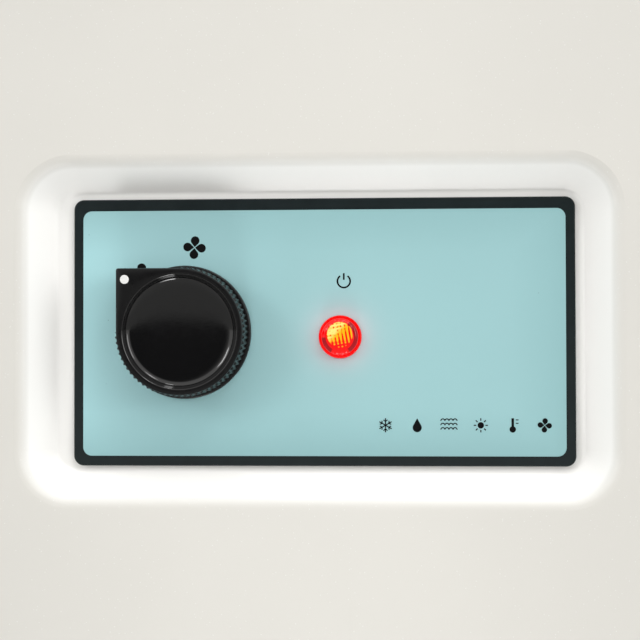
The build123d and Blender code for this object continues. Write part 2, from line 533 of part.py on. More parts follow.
def guide_vane(x):
    """One upright vane on its two pivot pins, slotted for the link bar."""
    half = LOUVRE_H / 2 - END_GAP
    section = Plane(origin=(x, VANE_Y, LOUVRE_Z - half), x_dir=(0, 1, 0), z_dir=(0, 0, 1)) * SlotOverall(
        VANE_CHORD, VANE_T)
    vane = extrude(section, amount=2 * half)
    reach = LOUVRE_H / 2 + LOUVRE_WALL
    vane += rod_z(PIVOT_R, LOUVRE_Z - reach, LOUVRE_Z + reach, x, VANE_Y)
    vane -= block(x - 5, x + 5, VANE_Y + VANE_SLOT_START, VANE_Y + VANE_CHORD,
                  LOUVRE_Z - LINK_SLOT / 2, LOUVRE_Z + LINK_SLOT / 2)
    pin = LINK_SLOT / 2 + 1
    return vane + rod_z(VANE_PIN_R, LOUVRE_Z - pin, LOUVRE_Z + pin, x, VANE_Y + VANE_LINK_OFFSET)


def guide_link():
    """Level bar that makes the vanes swing together."""
    y = VANE_Y + VANE_LINK_OFFSET
    places = vane_places()
    bar = block(places[0] - 3, places[-1] + 3, y - LINK_W / 2, y + LINK_W / 2,
                LOUVRE_Z - LINK_T / 2, LOUVRE_Z + LINK_T / 2)
    for x in places:
        bar -= rod_z(VANE_PIN_R + RUN_FIT, LOUVRE_Z - 5, LOUVRE_Z + 5, x, y)
    return bar


# ------------------------------------------------------------------ rear face
def grille(z, height):
    """A framed panel of slanting slats that fills an opening in the rear shell, flush with it."""
    width = GRILLE_W - 2 * FIT
    height = height - 2 * FIT
    y0 = REAR_Y - GRILLE_T
    frame = plate_y(width, height, GRILLE_CORNER - FIT, y0, REAR_Y, 0, z)
    inner_w, inner_h = width - 2 * GRILLE_BORDER, height - 2 * GRILLE_BORDER
    frame -= plate_y(inner_w, inner_h, 3, y0 - 1, REAR_Y + 1, 0, z)
    rows = int(inner_h // SLAT_PITCH)
    for i in range(rows):
        slat_z = z + (i - (rows - 1) / 2) * SLAT_PITCH
        slat = Rot(SLAT_TILT, 0, 0) * Box(inner_w + 4, GRILLE_T - 1, SLAT_T)
        slat = Pos(0, REAR_Y - GRILLE_T / 2, slat_z) * slat
        frame += slat
    for x in (-inner_w / 4, 0, inner_w / 4):
        frame += block(x - 1.2, x + 1.2, y0 + 0.5, REAR_Y - 2.5, z - inner_h / 2 - 1, z + inner_h / 2 + 1)
    return frame


def intake_grille():
    """Front of the filter cassette, with a pull tab along its top."""
    tab = plate_y(60, 6, 2.9, REAR_Y - 1, REAR_Y + 3, 0, INTAKE_Z + INTAKE_H / 2 - GRILLE_BORDER / 2 - FIT)
    return grille(INTAKE_Z, INTAKE_H) + tab


def air_filter():
    """Filter frame with its cross ribs and mesh, clipped behind the intake grille."""
    width, height = GRILLE_W - 2 * FILTER_INSET, INTAKE_H - 2 * FILTER_INSET
    y1 = REAR_Y - GRILLE_T
    y0 = y1 - FILTER_T
    frame = plate_y(width, height, 4, y0, y1, 0, INTAKE_Z)
    inner_w, inner_h = width - 2 * FILTER_BORDER, height - 2 * FILTER_BORDER
    frame -= plate_y(inner_w, inner_h, 2, y0 - 1, y1 + 1, 0, INTAKE_Z)
    mesh_y = (y0 + y1) / 2
    z0, z1 = INTAKE_Z - inner_h / 2 - 1, INTAKE_Z + inner_h / 2 + 1
    frame += block(-inner_w / 2 - 1, inner_w / 2 + 1, mesh_y - 0.4, mesh_y + 0.4, z0, z1)
    for x in (-inner_w / 6, inner_w / 6):
        frame += block(x - 1.5, x + 1.5, y0 + 1, y1 - 1, z0, z1)
    return frame


def exhaust_collar():
    """Round spigot for the warm-air hose, in the rear shell."""
    collar = rod_y(EXHAUST_R, REAR_Y - EXHAUST_IN, REAR_Y + EXHAUST_OUT, 0, EXHAUST_Z)
    collar += rod_y(EXHAUST_FLANGE_R, REAR_Y, REAR_Y + EXHAUST_FLANGE_T, 0, EXHAUST_Z)
    collar += rod_y(EXHAUST_HOLE_R - FIT, REAR_Y - WALL, REAR_Y, 0, EXHAUST_Z)
    return collar - rod_y(EXHAUST_R - EXHAUST_WALL, REAR_Y - 50, REAR_Y + 50, 0, EXHAUST_Z)


def cord_gland():
    """Bush that the mains lead enters through."""
    gland = rod_y(GLAND_R, REAR_Y - WALL - 6, REAR_Y + 1, GLAND_X, GLAND_Z)
    flange = rod_y(GLAND_FLANGE_R, REAR_Y, REAR_Y + 3, GLAND_X, GLAND_Z)
    gland += fillet(flange.edges().group_by(Axis.Y)[-1], 1.2)
    return gland - rod_y(GLAND_BORE_R, REAR_Y - 30, REAR_Y + 30, GLAND_X, GLAND_Z)


# ------------------------------------------------------------------ base, castors and tank
def castor_places():
    """Name and centre of each castor's stem."""
    x, y = SIDE_X - CASTOR_INSET_X, REAR_Y - CASTOR_INSET_Y
    return {"front_left": (-x, -y), "front_right": (x, -y), "rear_left": (-x, y), "rear_right": (x, y)}


PAN_GROW = -WALL - FIT      # pan's outline against the casing's
TANK_BACK_Y = FRONT_Y + TANK_FRONT_T + TANK_DEPTH


def base_pan():
    """Base tray with castor bosses, a dam behind the tank, runners for it and the drain spigot."""
    pan = casing(PAN_GROW, PAN_Z, PAN_TOP) - casing(PAN_GROW - PAN_WALL, PAN_Z + PAN_FLOOR, PAN_TOP + 1)
    inside = SIDE_X + PAN_GROW - PAN_WALL / 2
    pan += block(-inside, inside, TANK_BACK_Y + 3, TANK_BACK_Y + 3 + DAM_T, PAN_Z + 1, PAN_TOP)
    doorway = TANK_FRONT_W / 2
    pan -= block(-doorway, doorway, FRONT_Y - 5, FRONT_Y + 12, PAN_Z + PAN_FLOOR, PAN_TOP + 1)
    for x in (-TANK_FRONT_W / 3, 0, TANK_FRONT_W / 3):
        pan += block(x - 2, x + 2, FRONT_Y + 14, TANK_BACK_Y, PAN_Z + 1, PAN_Z + PAN_FLOOR + TANK_LIFT - FIT)
    for x, y in castor_places().values():
        pan += rod_z(BOSS_R, PAN_Z + 1, PAN_Z + BOSS_H, x, y)
    for x, y in castor_places().values():
        pan -= rod_z(STEM_R + RUN_FIT, PAN_Z - 1, PAN_Z + BOSS_H + 1, x, y)
    pan += rod_y(DRAIN_R + DRAIN_WALL, REAR_Y + PAN_GROW - PAN_WALL, REAR_Y + DRAIN_OUT, DRAIN_X, DRAIN_Z)
    return pan - rod_y(DRAIN_R, REAR_Y - 20, REAR_Y + 20, DRAIN_X, DRAIN_Z)


def castor_fork(x, y):
    """Swivelling fork with its stem, and the axle riveted through its legs."""
    axle_y, top = y + CASTOR_TRAIL, PAN_Z - 0.4
    fork = rod_z(FORK_PLATE_R, top - FORK_PLATE_T, top, x, y) + rod_z(STEM_R, top - 1, top + STEM_LEN, x, y)
    half = WHEEL_W / 2 + 1.0
    for side in (-1, 1):
        x0 = x + side * (half + FORK_LEG_T / 2)
        plane = Plane(origin=(x0 - FORK_LEG_T / 2, 0, 0), x_dir=(0, 1, 0), z_dir=(1, 0, 0))
        lower = Pos(axle_y, WHEEL_R) * Circle(FORK_LEG_R)
        upper = Pos(y, top - 1.0) * Rectangle(2 * FORK_LEG_R, 2)
        fork += extrude(plane * make_hull(lower.edges() + upper.edges()), amount=FORK_LEG_T)
    reach = half + FORK_LEG_T
    fork -= rod_x(AXLE_R + RUN_FIT, x - reach - 1, x + reach + 1, axle_y, WHEEL_R)
    axle = rod_x(AXLE_R, x - reach - 0.8, x + reach + 0.8, axle_y, WHEEL_R)
    return Compound(children=[fork.solid(), axle.solid()])


def castor_wheel(x, y):
    """Castor's wheel, with a rounded tread and a dished web."""
    axle_y = y + CASTOR_TRAIL
    wheel = rod_x(WHEEL_R, x - WHEEL_W / 2, x + WHEEL_W / 2, axle_y, WHEEL_R)
    wheel = fillet(wheel.edges(), TREAD_ROUND)
    for side in (-1, 1):
        face = x + side * WHEEL_W / 2
        dish = rod_x(WHEEL_R - 7, face - 3, face + 3, axle_y, WHEEL_R)
        wheel -= dish - rod_x(AXLE_R + 3, face - 5, face + 5, axle_y, WHEEL_R)
    return wheel - rod_x(AXLE_R + RUN_FIT, x - WHEEL_W, x + WHEEL_W, axle_y, WHEEL_R)


def drain_tank():
    """Open-topped bucket that catches the condensate."""
    half = TANK_FRONT_W / 2 - TANK_SIDE
    z0, z1 = PAN_Z + PAN_FLOOR + TANK_LIFT, TANK_FRONT_TOP - 4
    y0, y1 = FRONT_Y + TANK_FRONT_T, TANK_BACK_Y
    outer = Pos(0, (y0 + y1) / 2, z0) * extrude(RectangleRounded(2 * half, y1 - y0, 10), amount=z1 - z0)
    inset = 2 * TANK_WALL
    inner = Pos(0, (y0 + y1) / 2, z0 + TANK_WALL) * extrude(
        RectangleRounded(2 * half - inset, y1 - y0 - inset, 10 - TANK_WALL), amount=z1 - z0)
    return outer - inner - grip_pocket(FIT)


def grip_z():
    """Height of the middle of the tank's finger grip."""
    return TANK_FRONT_TOP - 30


def grip_pocket(grow):
    """The finger grip's outer shape behind the tank's front, as a solid."""
    return plate_y(GRIP_W + 2 * grow, GRIP_H + 2 * grow, 8 + grow, FRONT_Y + TANK_FRONT_T / 2,
                   FRONT_Y + GRIP_DEPTH + grow, 0, grip_z())


def tank_front():
    """The tank's front panel, flush with the casing, with a finger grip."""
    z0, z1 = SHELL_Z + TANK_GAP, TANK_FRONT_TOP - TANK_GAP
    width, back = TANK_FRONT_W - 2 * TANK_GAP, FRONT_Y + TANK_FRONT_T
    panel = plate_y(width, z1 - z0, 2, FRONT_Y, back, 0, (z0 + z1) / 2)
    panel = fillet(panel.edges().group_by(Axis.Y)[0], 1.0)
    hollow = plate_y(GRIP_W - 5, GRIP_H - 5, 6, FRONT_Y - 5, FRONT_Y + GRIP_DEPTH - 2.5, 0, grip_z())
    hollow = fillet(hollow.edges().group_by(Axis.Y)[-1], 3)
    return panel + grip_pocket(0) - hollow


def drain_plug():
    """Rubber plug in the drain spigot."""
    y0 = REAR_Y + DRAIN_OUT
    head = rod_y(PLUG_HEAD_R, y0, y0 + PLUG_HEAD_T, DRAIN_X, DRAIN_Z)
    head = fillet(head.edges().group_by(Axis.Y)[-1], 1.2)
    return head + rod_y(DRAIN_R - RUN_FIT, y0 - PLUG_IN, y0 + 1, DRAIN_X, DRAIN_Z)


# ------------------------------------------------------------------ machinery
EVAPORATOR_Y = REAR_Y - EVAPORATOR_GAP - COIL_T     # coils' front faces
CONDENSER_Y = REAR_Y - CONDENSER_GAP - COIL_T
BLOWER_BACK_Y = EVAPORATOR_Y - 8
FAN_BACK_Y = CONDENSER_Y - 8
DECK_TOP = DECK_Z + DECK_T
FLOOR_TOP = PAN_Z + PAN_FLOOR
FAN_X = SIDE_X - WALL - 26 - (FAN_R + SCROLL_GROW + SCROLL_SHIFT)
COMPRESSOR_X = -(SIDE_X - WALL - COMPRESSOR_SIDE - COMPRESSOR_R)
COMPRESSOR_Y = CONDENSER_Y - 18 - COMPRESSOR_R
COMPRESSOR_Z = FLOOR_TOP + GROMMET_H + FOOT_T


def coil(y, z0, z1):
    """A fin-and-tube coil: end plates, a fin pack and the return bends of its tubes."""
    half = SIDE_X - COIL_SIDE
    pack = block(-half + 2, half - 2, y + 1, y + COIL_T - 1, z0 + 1, z1 - 1)
    for x0 in (-half, half - 2):
        pack += block(x0, x0 + 2.01, y, y + COIL_T, z0, z1)
    rows = int((z1 - z0) // 24)
    for i in range(rows):
        z = z0 + 12 + i * 24
        for side in (-1, 1):
            bend = Pos(side * half, y + COIL_T / 2, z + 5) * Rot(0, 90, 0) * Torus(5, 3)
            keep = block(side * half - (8 if side < 0 else 0), side * half + (8 if side > 0 else 0),
                         y, y + COIL_T, z - 10, z + 20)
            pack += bend & keep
    return pack


def evaporator_coil():
    """Cold coil behind the filter."""
    return coil(EVAPORATOR_Y, DECK_TOP, DECK_TOP + EVAPORATOR_H)


def condenser_coil():
    """Hot coil behind the lower grille, standing on the castor bosses."""
    return coil(CONDENSER_Y, PAN_Z + BOSS_H, PAN_Z + BOSS_H + CONDENSER_COIL_H)


def mid_deck():
    """Deck between the cold and hot halves, with a drip tray under the evaporator."""
    deck = casing(-WALL - FIT - TONGUE_T - FIT, DECK_Z, DECK_TOP)
    for x, y in LEG_PLACES:
        for side in (-1, 1):
            middle = side * x
            leg = Box(LEG_W, LEG_W, DECK_Z + 1 - FLOOR_TOP, align=(Align.CENTER, Align.CENTER, Align.MIN))
            deck += Pos(middle, y, FLOOR_TOP) * leg
    half = SIDE_X - COIL_SIDE + 12
    y0, y1 = EVAPORATOR_Y - 4, EVAPORATOR_Y + COIL_T + 6
    tray = block(-half, half, y0, y1, DECK_TOP - 1, DECK_TOP + DECK_RIM)
    tray -= block(-half + 2, half - 2, y0 + 2, y1 - 2, DECK_TOP - 2, DECK_TOP + DECK_RIM + 1)
    for x in (-half + 2, half - 2):
        deck += block(x - 2, x + 2, y0, y1, DECK_TOP - 1, DECK_TOP + DECK_RIM)
    deck += tray
    for x, y in pipe_risers():
        deck -= rod_z(PIPE_R + 3, DECK_Z - 1, DECK_TOP + 1, x, y)
    return deck - rod_z(4, DECK_Z - 1, DECK_TOP + 1, half - 14, y1 - 8)


def scroll(radius, back_y, width, x, z, neck_side, neck_top, floor):
    """A blower's casing: an eccentric drum with a neck upwards, open where air enters and leaves."""
    outer = radius + SCROLL_GROW
    y0, y1 = back_y - width, back_y
    cx = x + neck_side * SCROLL_SHIFT
    edge = cx + neck_side * outer
    x0, x1 = sorted((edge, edge - neck_side * NECK_W))
    drum = rod_y(outer, y0, y1, cx, z) + block(x0, x1, y0, y1, z, neck_top)
    drum += block(cx - SCROLL_FOOT / 2, cx + SCROLL_FOOT / 2, y0, y1, floor, z - outer * 0.85)
    inside = rod_y(outer - SCROLL_WALL, y0 + SCROLL_WALL, y1 - SCROLL_WALL, cx, z)
    inside += block(x0 + SCROLL_WALL, x1 - SCROLL_WALL, y0 + SCROLL_WALL, y1 - SCROLL_WALL, z, neck_top + 1)
    drum -= inside
    drum -= rod_y(radius - 8, y1 - 5, y1 + 5, x, z)
    drum -= rod_y(MOTOR_SHAFT_R + 4, y0 - 5, y0 + 5, x, z)
    return drum


def blower_width(wheel_w):
    """Outside width of the scroll round a wheel."""
    return wheel_w + 2 * (WHEEL_CLEAR + SCROLL_WALL)


def blower_housing():
    """Cold blower's scroll and the duct that turns its air to the outlet."""
    width = blower_width(BLOWER_WHEEL_W)
    neck_top = SEAM_Z + 8
    part = scroll(BLOWER_R, BLOWER_BACK_Y, width, 0, BLOWER_Z, 1, neck_top, DECK_TOP)
    half = LOUVRE_W / 2 + LOUVRE_WALL
    y0, y1 = FRONT_Y + LOUVRE_DEPTH + 1, BLOWER_BACK_Y + 4
    duct = block(-half, half, y0, y1, neck_top - SCROLL_WALL, DUCT_TOP)
    inner = half - SCROLL_WALL
    duct -= block(-inner, inner, y0 - 5, y1 - SCROLL_WALL, neck_top, DUCT_TOP - SCROLL_WALL)
    edge = SCROLL_SHIFT + BLOWER_R + SCROLL_GROW
    duct -= block(edge - NECK_W + SCROLL_WALL, edge - SCROLL_WALL, BLOWER_BACK_Y - width + SCROLL_WALL,
                  BLOWER_BACK_Y - SCROLL_WALL, neck_top - 10, neck_top + 10)
    return part + duct


def fan_housing():
    """Hot blower's scroll and the plenum that leads its air to the exhaust collar."""
    width = blower_width(FAN_WHEEL_W)
    neck_top = EXHAUST_Z - EXHAUST_R - 8
    part = scroll(FAN_R, FAN_BACK_Y, width, FAN_X, FAN_Z, -1, neck_top, FLOOR_TOP)
    y0, y1 = FAN_BACK_Y - width, REAR_Y - WALL - 6
    edge = FAN_X - SCROLL_SHIFT - FAN_R - SCROLL_GROW
    half = max(EXHAUST_R + 6, -edge)
    z1 = EXHAUST_Z + EXHAUST_R + 8
    box = block(-half, half, y0, y1, neck_top - SCROLL_WALL, z1)
    box -= block(-half + SCROLL_WALL, half - SCROLL_WALL, y0 + SCROLL_WALL, y1 - SCROLL_WALL,
                 neck_top, z1 - SCROLL_WALL)
    box -= block(edge + SCROLL_WALL, edge + NECK_W - SCROLL_WALL, y0 + SCROLL_WALL,
                 FAN_BACK_Y - SCROLL_WALL, neck_top - 10, neck_top + 10)
    box -= rod_y(EXHAUST_R + FIT, y1 - 10, y1 + 10, 0, EXHAUST_Z)
    return part + box


def rotor(radius, back_y, wheel_w, x, z):
    """A forward-curved blower wheel: back disc, hub, blades and a front ring."""
    y0 = back_y - SCROLL_WALL - WHEEL_CLEAR - wheel_w
    y1 = y0 + wheel_w
    wheel = rod_y(radius, y0, y0 + 2, x, z) + rod_y(12, y0, y0 + 22, x, z)
    wheel += rod_y(radius, y1 - 2, y1, x, z) - rod_y(radius - ROTOR_BLADE_DEPTH, y1 - 3, y1 + 1, x, z)
    for i in range(ROTOR_BLADES):
        turn = 360 * i / ROTOR_BLADES
        blade = Pos(radius - ROTOR_BLADE_DEPTH / 2, 0, 0) * Rot(0, 35, 0) * Box(
            ROTOR_BLADE_DEPTH * 0.9, wheel_w - 2, ROTOR_BLADE_T)
        wheel += Pos(x, (y0 + y1) / 2, z) * Rot(0, turn, 0) * blade
    return wheel - rod_y(MOTOR_SHAFT_R + RUN_FIT, y0 - 1, y0 + 30, x, z)


def motor_front(back_y, wheel_w):
    """Front and back faces, in Y, of the motor that drives a blower."""
    y1 = back_y - blower_width(wheel_w) - MOTOR_GAP
    return y1 - MOTOR_LEN, y1


def motor(back_y, wheel_w, x, z):
    """A fan motor: its can, its end boss, and two ears with the posts that fix it to the scroll."""
    y0, y1 = motor_front(back_y, wheel_w)
    can = rod_y(MOTOR_R, y0 + 6, y1 - 6, x, z)
    can = fillet(can.edges(), 3)
    can += rod_y(11, y0, y1, x, z)
    for side in (-1, 1):
        ear_x = x + side * MOTOR_R
        can += block(ear_x - 9, ear_x + 9, y1 - 14, y1 - 10, z - 9, z + 9)
        can += rod_y(MOTOR_POST_R, y1 - 12, y1 + MOTOR_GAP, ear_x + side * 5, z)
    return can - rod_y(MOTOR_SHAFT_R + RUN_FIT, y0 + 4, y1 + 1, x, z)


def motor_shaft(back_y, wheel_w, x, z):
    """The shaft from a fan motor into its wheel's hub."""
    y0 = motor_front(back_y, wheel_w)[0]
    hub_end = back_y - SCROLL_WALL - WHEEL_CLEAR - wheel_w + 20
    return rod_y(MOTOR_SHAFT_R, y0 + 6, hub_end, x, z)


def accumulator_place():
    """Middle of the suction accumulator, beside the compressor."""
    reach = COMPRESSOR_R + ACCUMULATOR_R + 5
    turn = math.radians(-28)
    return COMPRESSOR_X + reach * math.cos(turn), COMPRESSOR_Y + reach * math.sin(turn)


def compressor():
    """Rotary compressor on its three-armed foot, with its accumulator and terminal cover."""
    z0, z1 = COMPRESSOR_Z, COMPRESSOR_Z + COMPRESSOR_H
    body = rod_z(COMPRESSOR_R, z0, z1, COMPRESSOR_X, COMPRESSOR_Y)
    body = fillet(body.edges(), COMPRESSOR_DOME)
    feet = rod_z(COMPRESSOR_R * 0.7, z0 - FOOT_T, z0 + 4, COMPRESSOR_X, COMPRESSOR_Y)
    for x, y in foot_places():
        near, far = Pos(COMPRESSOR_X, COMPRESSOR_Y) * Circle(20), Pos(x, y) * Circle(FOOT_R)
        arm = make_hull(near.edges() + far.edges())
        feet += Pos(0, 0, z0 - FOOT_T) * extrude(arm, amount=FOOT_T)
    for x, y in foot_places():
        feet -= rod_z(4.2, z0 - 10, z0 + 10, x, y)
    ax, ay = accumulator_place()
    az0 = z0 + 30
    can = fillet(rod_z(ACCUMULATOR_R, az0, az0 + ACCUMULATOR_H, ax, ay).edges(), 8)
    strap_mid = ((ax + COMPRESSOR_X) / 2, (ay + COMPRESSOR_Y) / 2)
    strap = Pos(*strap_mid, az0 + ACCUMULATOR_H / 2) * Rot(0, 0, -28) * Box(
        ACCUMULATOR_R + 24, 10, 12)
    cover = Pos(COMPRESSOR_X, COMPRESSOR_Y + 3, z1 + 4) * Box(34, 34, 20)
    fitting = rod_z(PIPE_R + 2, z1 - 12, z1 + FITTING_H, *pipe_risers()[1])
    return body + feet + can + strap + cover + fitting


def foot_places():
    """Centres of the three grommets under the compressor."""
    places = []
    for degrees in (30, 150, 270):
        angle = math.radians(degrees)
        x, y = FOOT_REACH * math.cos(angle), FOOT_REACH * math.sin(angle)
        places.append((COMPRESSOR_X + x, COMPRESSOR_Y + y))
    return places


def compressor_grommets():
    """Rubber feet between the compressor and the pan."""
    feet = []
    for x, y in foot_places():
        top = FLOOR_TOP + GROMMET_H
        foot = rod_z(GROMMET_R, FLOOR_TOP, top, x, y) + rod_z(4.0, FLOOR_TOP, top + FOOT_T + 3, x, y)
        feet.append(foot.solid())
    return Compound(children=feet)


def pipe_risers():
    """X and Y of the two refrigerant pipes that pass up through the deck."""
    ax, ay = accumulator_place()
    return [(ax, ay), (COMPRESSOR_X + 34, COMPRESSOR_Y - 8)]


def pipe(points):
    """A bent copper pipe through the given corners."""
    path = FilletPolyline(*points, radius=PIPE_BEND)
    start = Plane(origin=path @ 0, z_dir=path % 0)
    return sweep(start * Circle(PIPE_R), path=path)


def refrigerant_pipes():
    """Suction, discharge and liquid lines between the compressor and the coils."""
    ax, ay = accumulator_place()
    half = SIDE_X - COIL_SIDE
    top = COMPRESSOR_Z + COMPRESSOR_H
    coil_y = EVAPORATOR_Y + COIL_T / 2
    suction_z = HANDLE_Z - HANDLE_H / 2 - HANDLE_WALL - 3 * PIPE_R
    suction = pipe([
        (ax, ay, COMPRESSOR_Z + 30 + ACCUMULATOR_H), (ax, ay, suction_z),
        (-half - 30, ay, suction_z), (-half - 30, coil_y, suction_z), (-half - 9, coil_y, suction_z),
    ])
    riser_x, riser_y = pipe_risers()[1]
    condenser_y = CONDENSER_Y + COIL_T / 2
    discharge = pipe([
        (riser_x, riser_y, top + FITTING_H), (riser_x, riser_y, top + 60),
        (-half - 24, riser_y, top + 60), (-half - 24, condenser_y, top + 60),
        (-half - 24, condenser_y, PAN_TOP + 150), (-half - 9, condenser_y, PAN_TOP + 130),
    ])
    return Compound(children=[suction.solid(), discharge.solid()])


def run_capacitor():
    """Motor-run capacitor, strapped to the deck's underside."""
    x, y = SIDE_X - WALL - 14 - CAPACITOR_R, FRONT_Y + 60
    can = rod_z(CAPACITOR_R, DECK_Z - 1 - CAPACITOR_H, DECK_Z - 1, x, y)
    can = fillet(can.edges().group_by(Axis.Z)[0], 3)
    foot = block(x - 24, x + 24, y - 8, y + 8, DECK_Z - 2, DECK_Z)
    tags = block(x - 8, x - 2, y - 0.4, y + 0.4, DECK_Z - 9 - CAPACITOR_H, DECK_Z - CAPACITOR_H)
    tags += block(x + 2, x + 8, y - 0.4, y + 0.4, DECK_Z - 9 - CAPACITOR_H, DECK_Z - CAPACITOR_H)
    return can + foot + tags


# ------------------------------------------------------------------ all the parts
def all_parts():
    """Every sub-part by name."""
    parts = {
        "front_shell": front_shell(),
        "rear_shell_upper": rear_shell_upper(),
        "rear_shell_lower": rear_shell_lower(),
        "top_cover": top_cover(),
        "base_pan": base_pan(),
        "shell_screws": shell_screws(),
        "side_handles": side_handles(),
        "panel_plate": panel_plate(),
        "panel_overlay": panel_overlay(),
        "knob_body": knob_body(),
        "knob_insert": knob_insert(),
        "knob_dot": knob_dot(),
        "selector_switch": selector_switch(),
        "switch_shaft": switch_shaft(),
        "panel_nuts": panel_nuts(),
        "lamp_lens": lamp_lens(),
        "lamp_body": lamp_body(),
        "louvre_frame": louvre_frame(),
        "louvre_link": louvre_link(),
        "guide_link": guide_link(),
        "intake_grille": intake_grille(),
        "air_filter": air_filter(),
        "condenser_grille": grille(CONDENSER_Z, CONDENSER_H),
        "exhaust_collar": exhaust_collar(),
        "cord_gland": cord_gland(),
        "drain_plug": drain_plug(),
        "drain_tank": drain_tank(),
        "tank_front": tank_front(),
        "mid_deck": mid_deck(),
        "evaporator_coil": evaporator_coil(),
        "condenser_coil": condenser_coil(),
        "blower_housing": blower_housing(),
        "blower_wheel": rotor(BLOWER_R, BLOWER_BACK_Y, BLOWER_WHEEL_W, 0, BLOWER_Z),
        "blower_motor": motor(BLOWER_BACK_Y, BLOWER_WHEEL_W, 0, BLOWER_Z),
        "blower_shaft": motor_shaft(BLOWER_BACK_Y, BLOWER_WHEEL_W, 0, BLOWER_Z),
        "fan_housing": fan_housing(),
        "fan_wheel": rotor(FAN_R, FAN_BACK_Y, FAN_WHEEL_W, FAN_X, FAN_Z),
        "fan_motor": motor(FAN_BACK_Y, FAN_WHEEL_W, FAN_X, FAN_Z),
        "fan_shaft": motor_shaft(FAN_BACK_Y, FAN_WHEEL_W, FAN_X, FAN_Z),
        "compressor": compressor(),
        "compressor_grommets": compressor_grommets(),
        "refrigerant_pipes": refrigerant_pipes(),
        "run_capacitor": run_capacitor(),
    }
    for name, (x, y) in castor_places().items():
        parts[f"castor_fork_{name}"] = castor_fork(x, y)
        parts[f"castor_wheel_{name}"] = castor_wheel(x, y)
    for i, z in enumerate(blade_heights(), start=1):
        parts[f"louvre_blade_{i}"] = louvre_blade(z, with_tab=i == 2)
    for i, x in enumerate(vane_places(), start=1):
        parts[f"guide_vane_{i}"] = guide_vane(x)
    return parts


os.makedirs("parts", exist_ok=True)
for part_name, part_shape in all_parts().items():
    export_step(part_shape, f"parts/{part_name}.step")
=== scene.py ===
"""Looks of the portable air conditioner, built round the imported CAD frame.

Everything is in metres, in the CAD frame: the origin is on the floor under the middle of the machine, +Z
is up and the front faces -Y. Small pieces on the front are drawn in millimetres as (across, up, out) from
a point on the front, and MM turns them into metres.
"""

import math

import bmesh
import bpy
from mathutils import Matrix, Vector

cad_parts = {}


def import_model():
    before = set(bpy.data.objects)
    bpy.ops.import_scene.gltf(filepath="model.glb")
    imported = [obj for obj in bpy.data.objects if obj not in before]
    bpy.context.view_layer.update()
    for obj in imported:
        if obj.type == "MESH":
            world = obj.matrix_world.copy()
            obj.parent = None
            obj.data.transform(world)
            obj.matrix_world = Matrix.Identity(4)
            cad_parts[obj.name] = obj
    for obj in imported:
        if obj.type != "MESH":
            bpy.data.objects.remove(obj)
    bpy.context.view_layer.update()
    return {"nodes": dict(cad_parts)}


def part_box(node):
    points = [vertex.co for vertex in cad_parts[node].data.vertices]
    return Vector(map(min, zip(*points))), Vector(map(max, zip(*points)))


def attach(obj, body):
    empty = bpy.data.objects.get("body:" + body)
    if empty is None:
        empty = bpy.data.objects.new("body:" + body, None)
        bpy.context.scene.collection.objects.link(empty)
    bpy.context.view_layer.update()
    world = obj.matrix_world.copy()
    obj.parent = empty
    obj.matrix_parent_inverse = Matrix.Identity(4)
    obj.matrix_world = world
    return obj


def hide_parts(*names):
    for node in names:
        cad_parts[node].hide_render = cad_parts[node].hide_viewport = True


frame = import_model()
NODES = frame["nodes"]
MM = 0.001
CASTORS = ("front_left", "front_right", "rear_left", "rear_right")


def middle(node):
    """Middle of a node's box."""
    low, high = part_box(node)
    return (low + high) / 2


FILM_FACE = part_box("panel_overlay")[0].y
PLATE_MID = middle("panel_plate")
CAD_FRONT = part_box("tank_front")[0].y
KNOB_AXIS = middle("knob_insert")
KNOB_TOP, KNOB_BASE = (corner.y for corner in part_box("knob_body"))
LAMP_AXIS = middle("lamp_lens")
LAMP_TOP, LAMP_BASE = (corner.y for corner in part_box("lamp_lens"))


# ------------------------------------------------------------------ node helpers
RANGE_SOCKETS = ("From Min", "From Max", "To Min", "To Max")


class Tree:
    """A small builder for a node tree."""

    def __init__(self, tree):
        self.tree = tree

    def feed(self, socket, value):
        """Links a socket to another, or sets it to a constant."""
        if isinstance(value, bpy.types.NodeSocket):
            self.tree.links.new(value, socket)
        elif socket.type == "RGBA" and len(value) == 3:
            socket.default_value = (*value, 1)
        else:
            socket.default_value = value

    def node(self, kind, settings=None, **inputs):
        made = self.tree.nodes.new("ShaderNode" + kind)
        for key, value in (settings or {}).items():
            setattr(made, key, value)
        for key, value in inputs.items():
            self.feed(made.inputs[key.replace("_", " ")], value)
        return made

    def calc(self, operation, *values):
        made = self.node("Math", {"operation": operation})
        for socket, value in zip(made.inputs, values):
            self.feed(socket, value)
        return made.outputs[0]

    def ramp(self, value, low, high, to_low=0.0, to_high=1.0, kind="LINEAR"):
        """Maps low..high to to_low..to_high and holds it there."""
        made = self.node("MapRange", {"interpolation_type": kind}, Value=value)
        for key, number in zip(RANGE_SOCKETS, (low, high, to_low, to_high)):
            made.inputs[key].default_value = number
        return made.outputs["Result"]


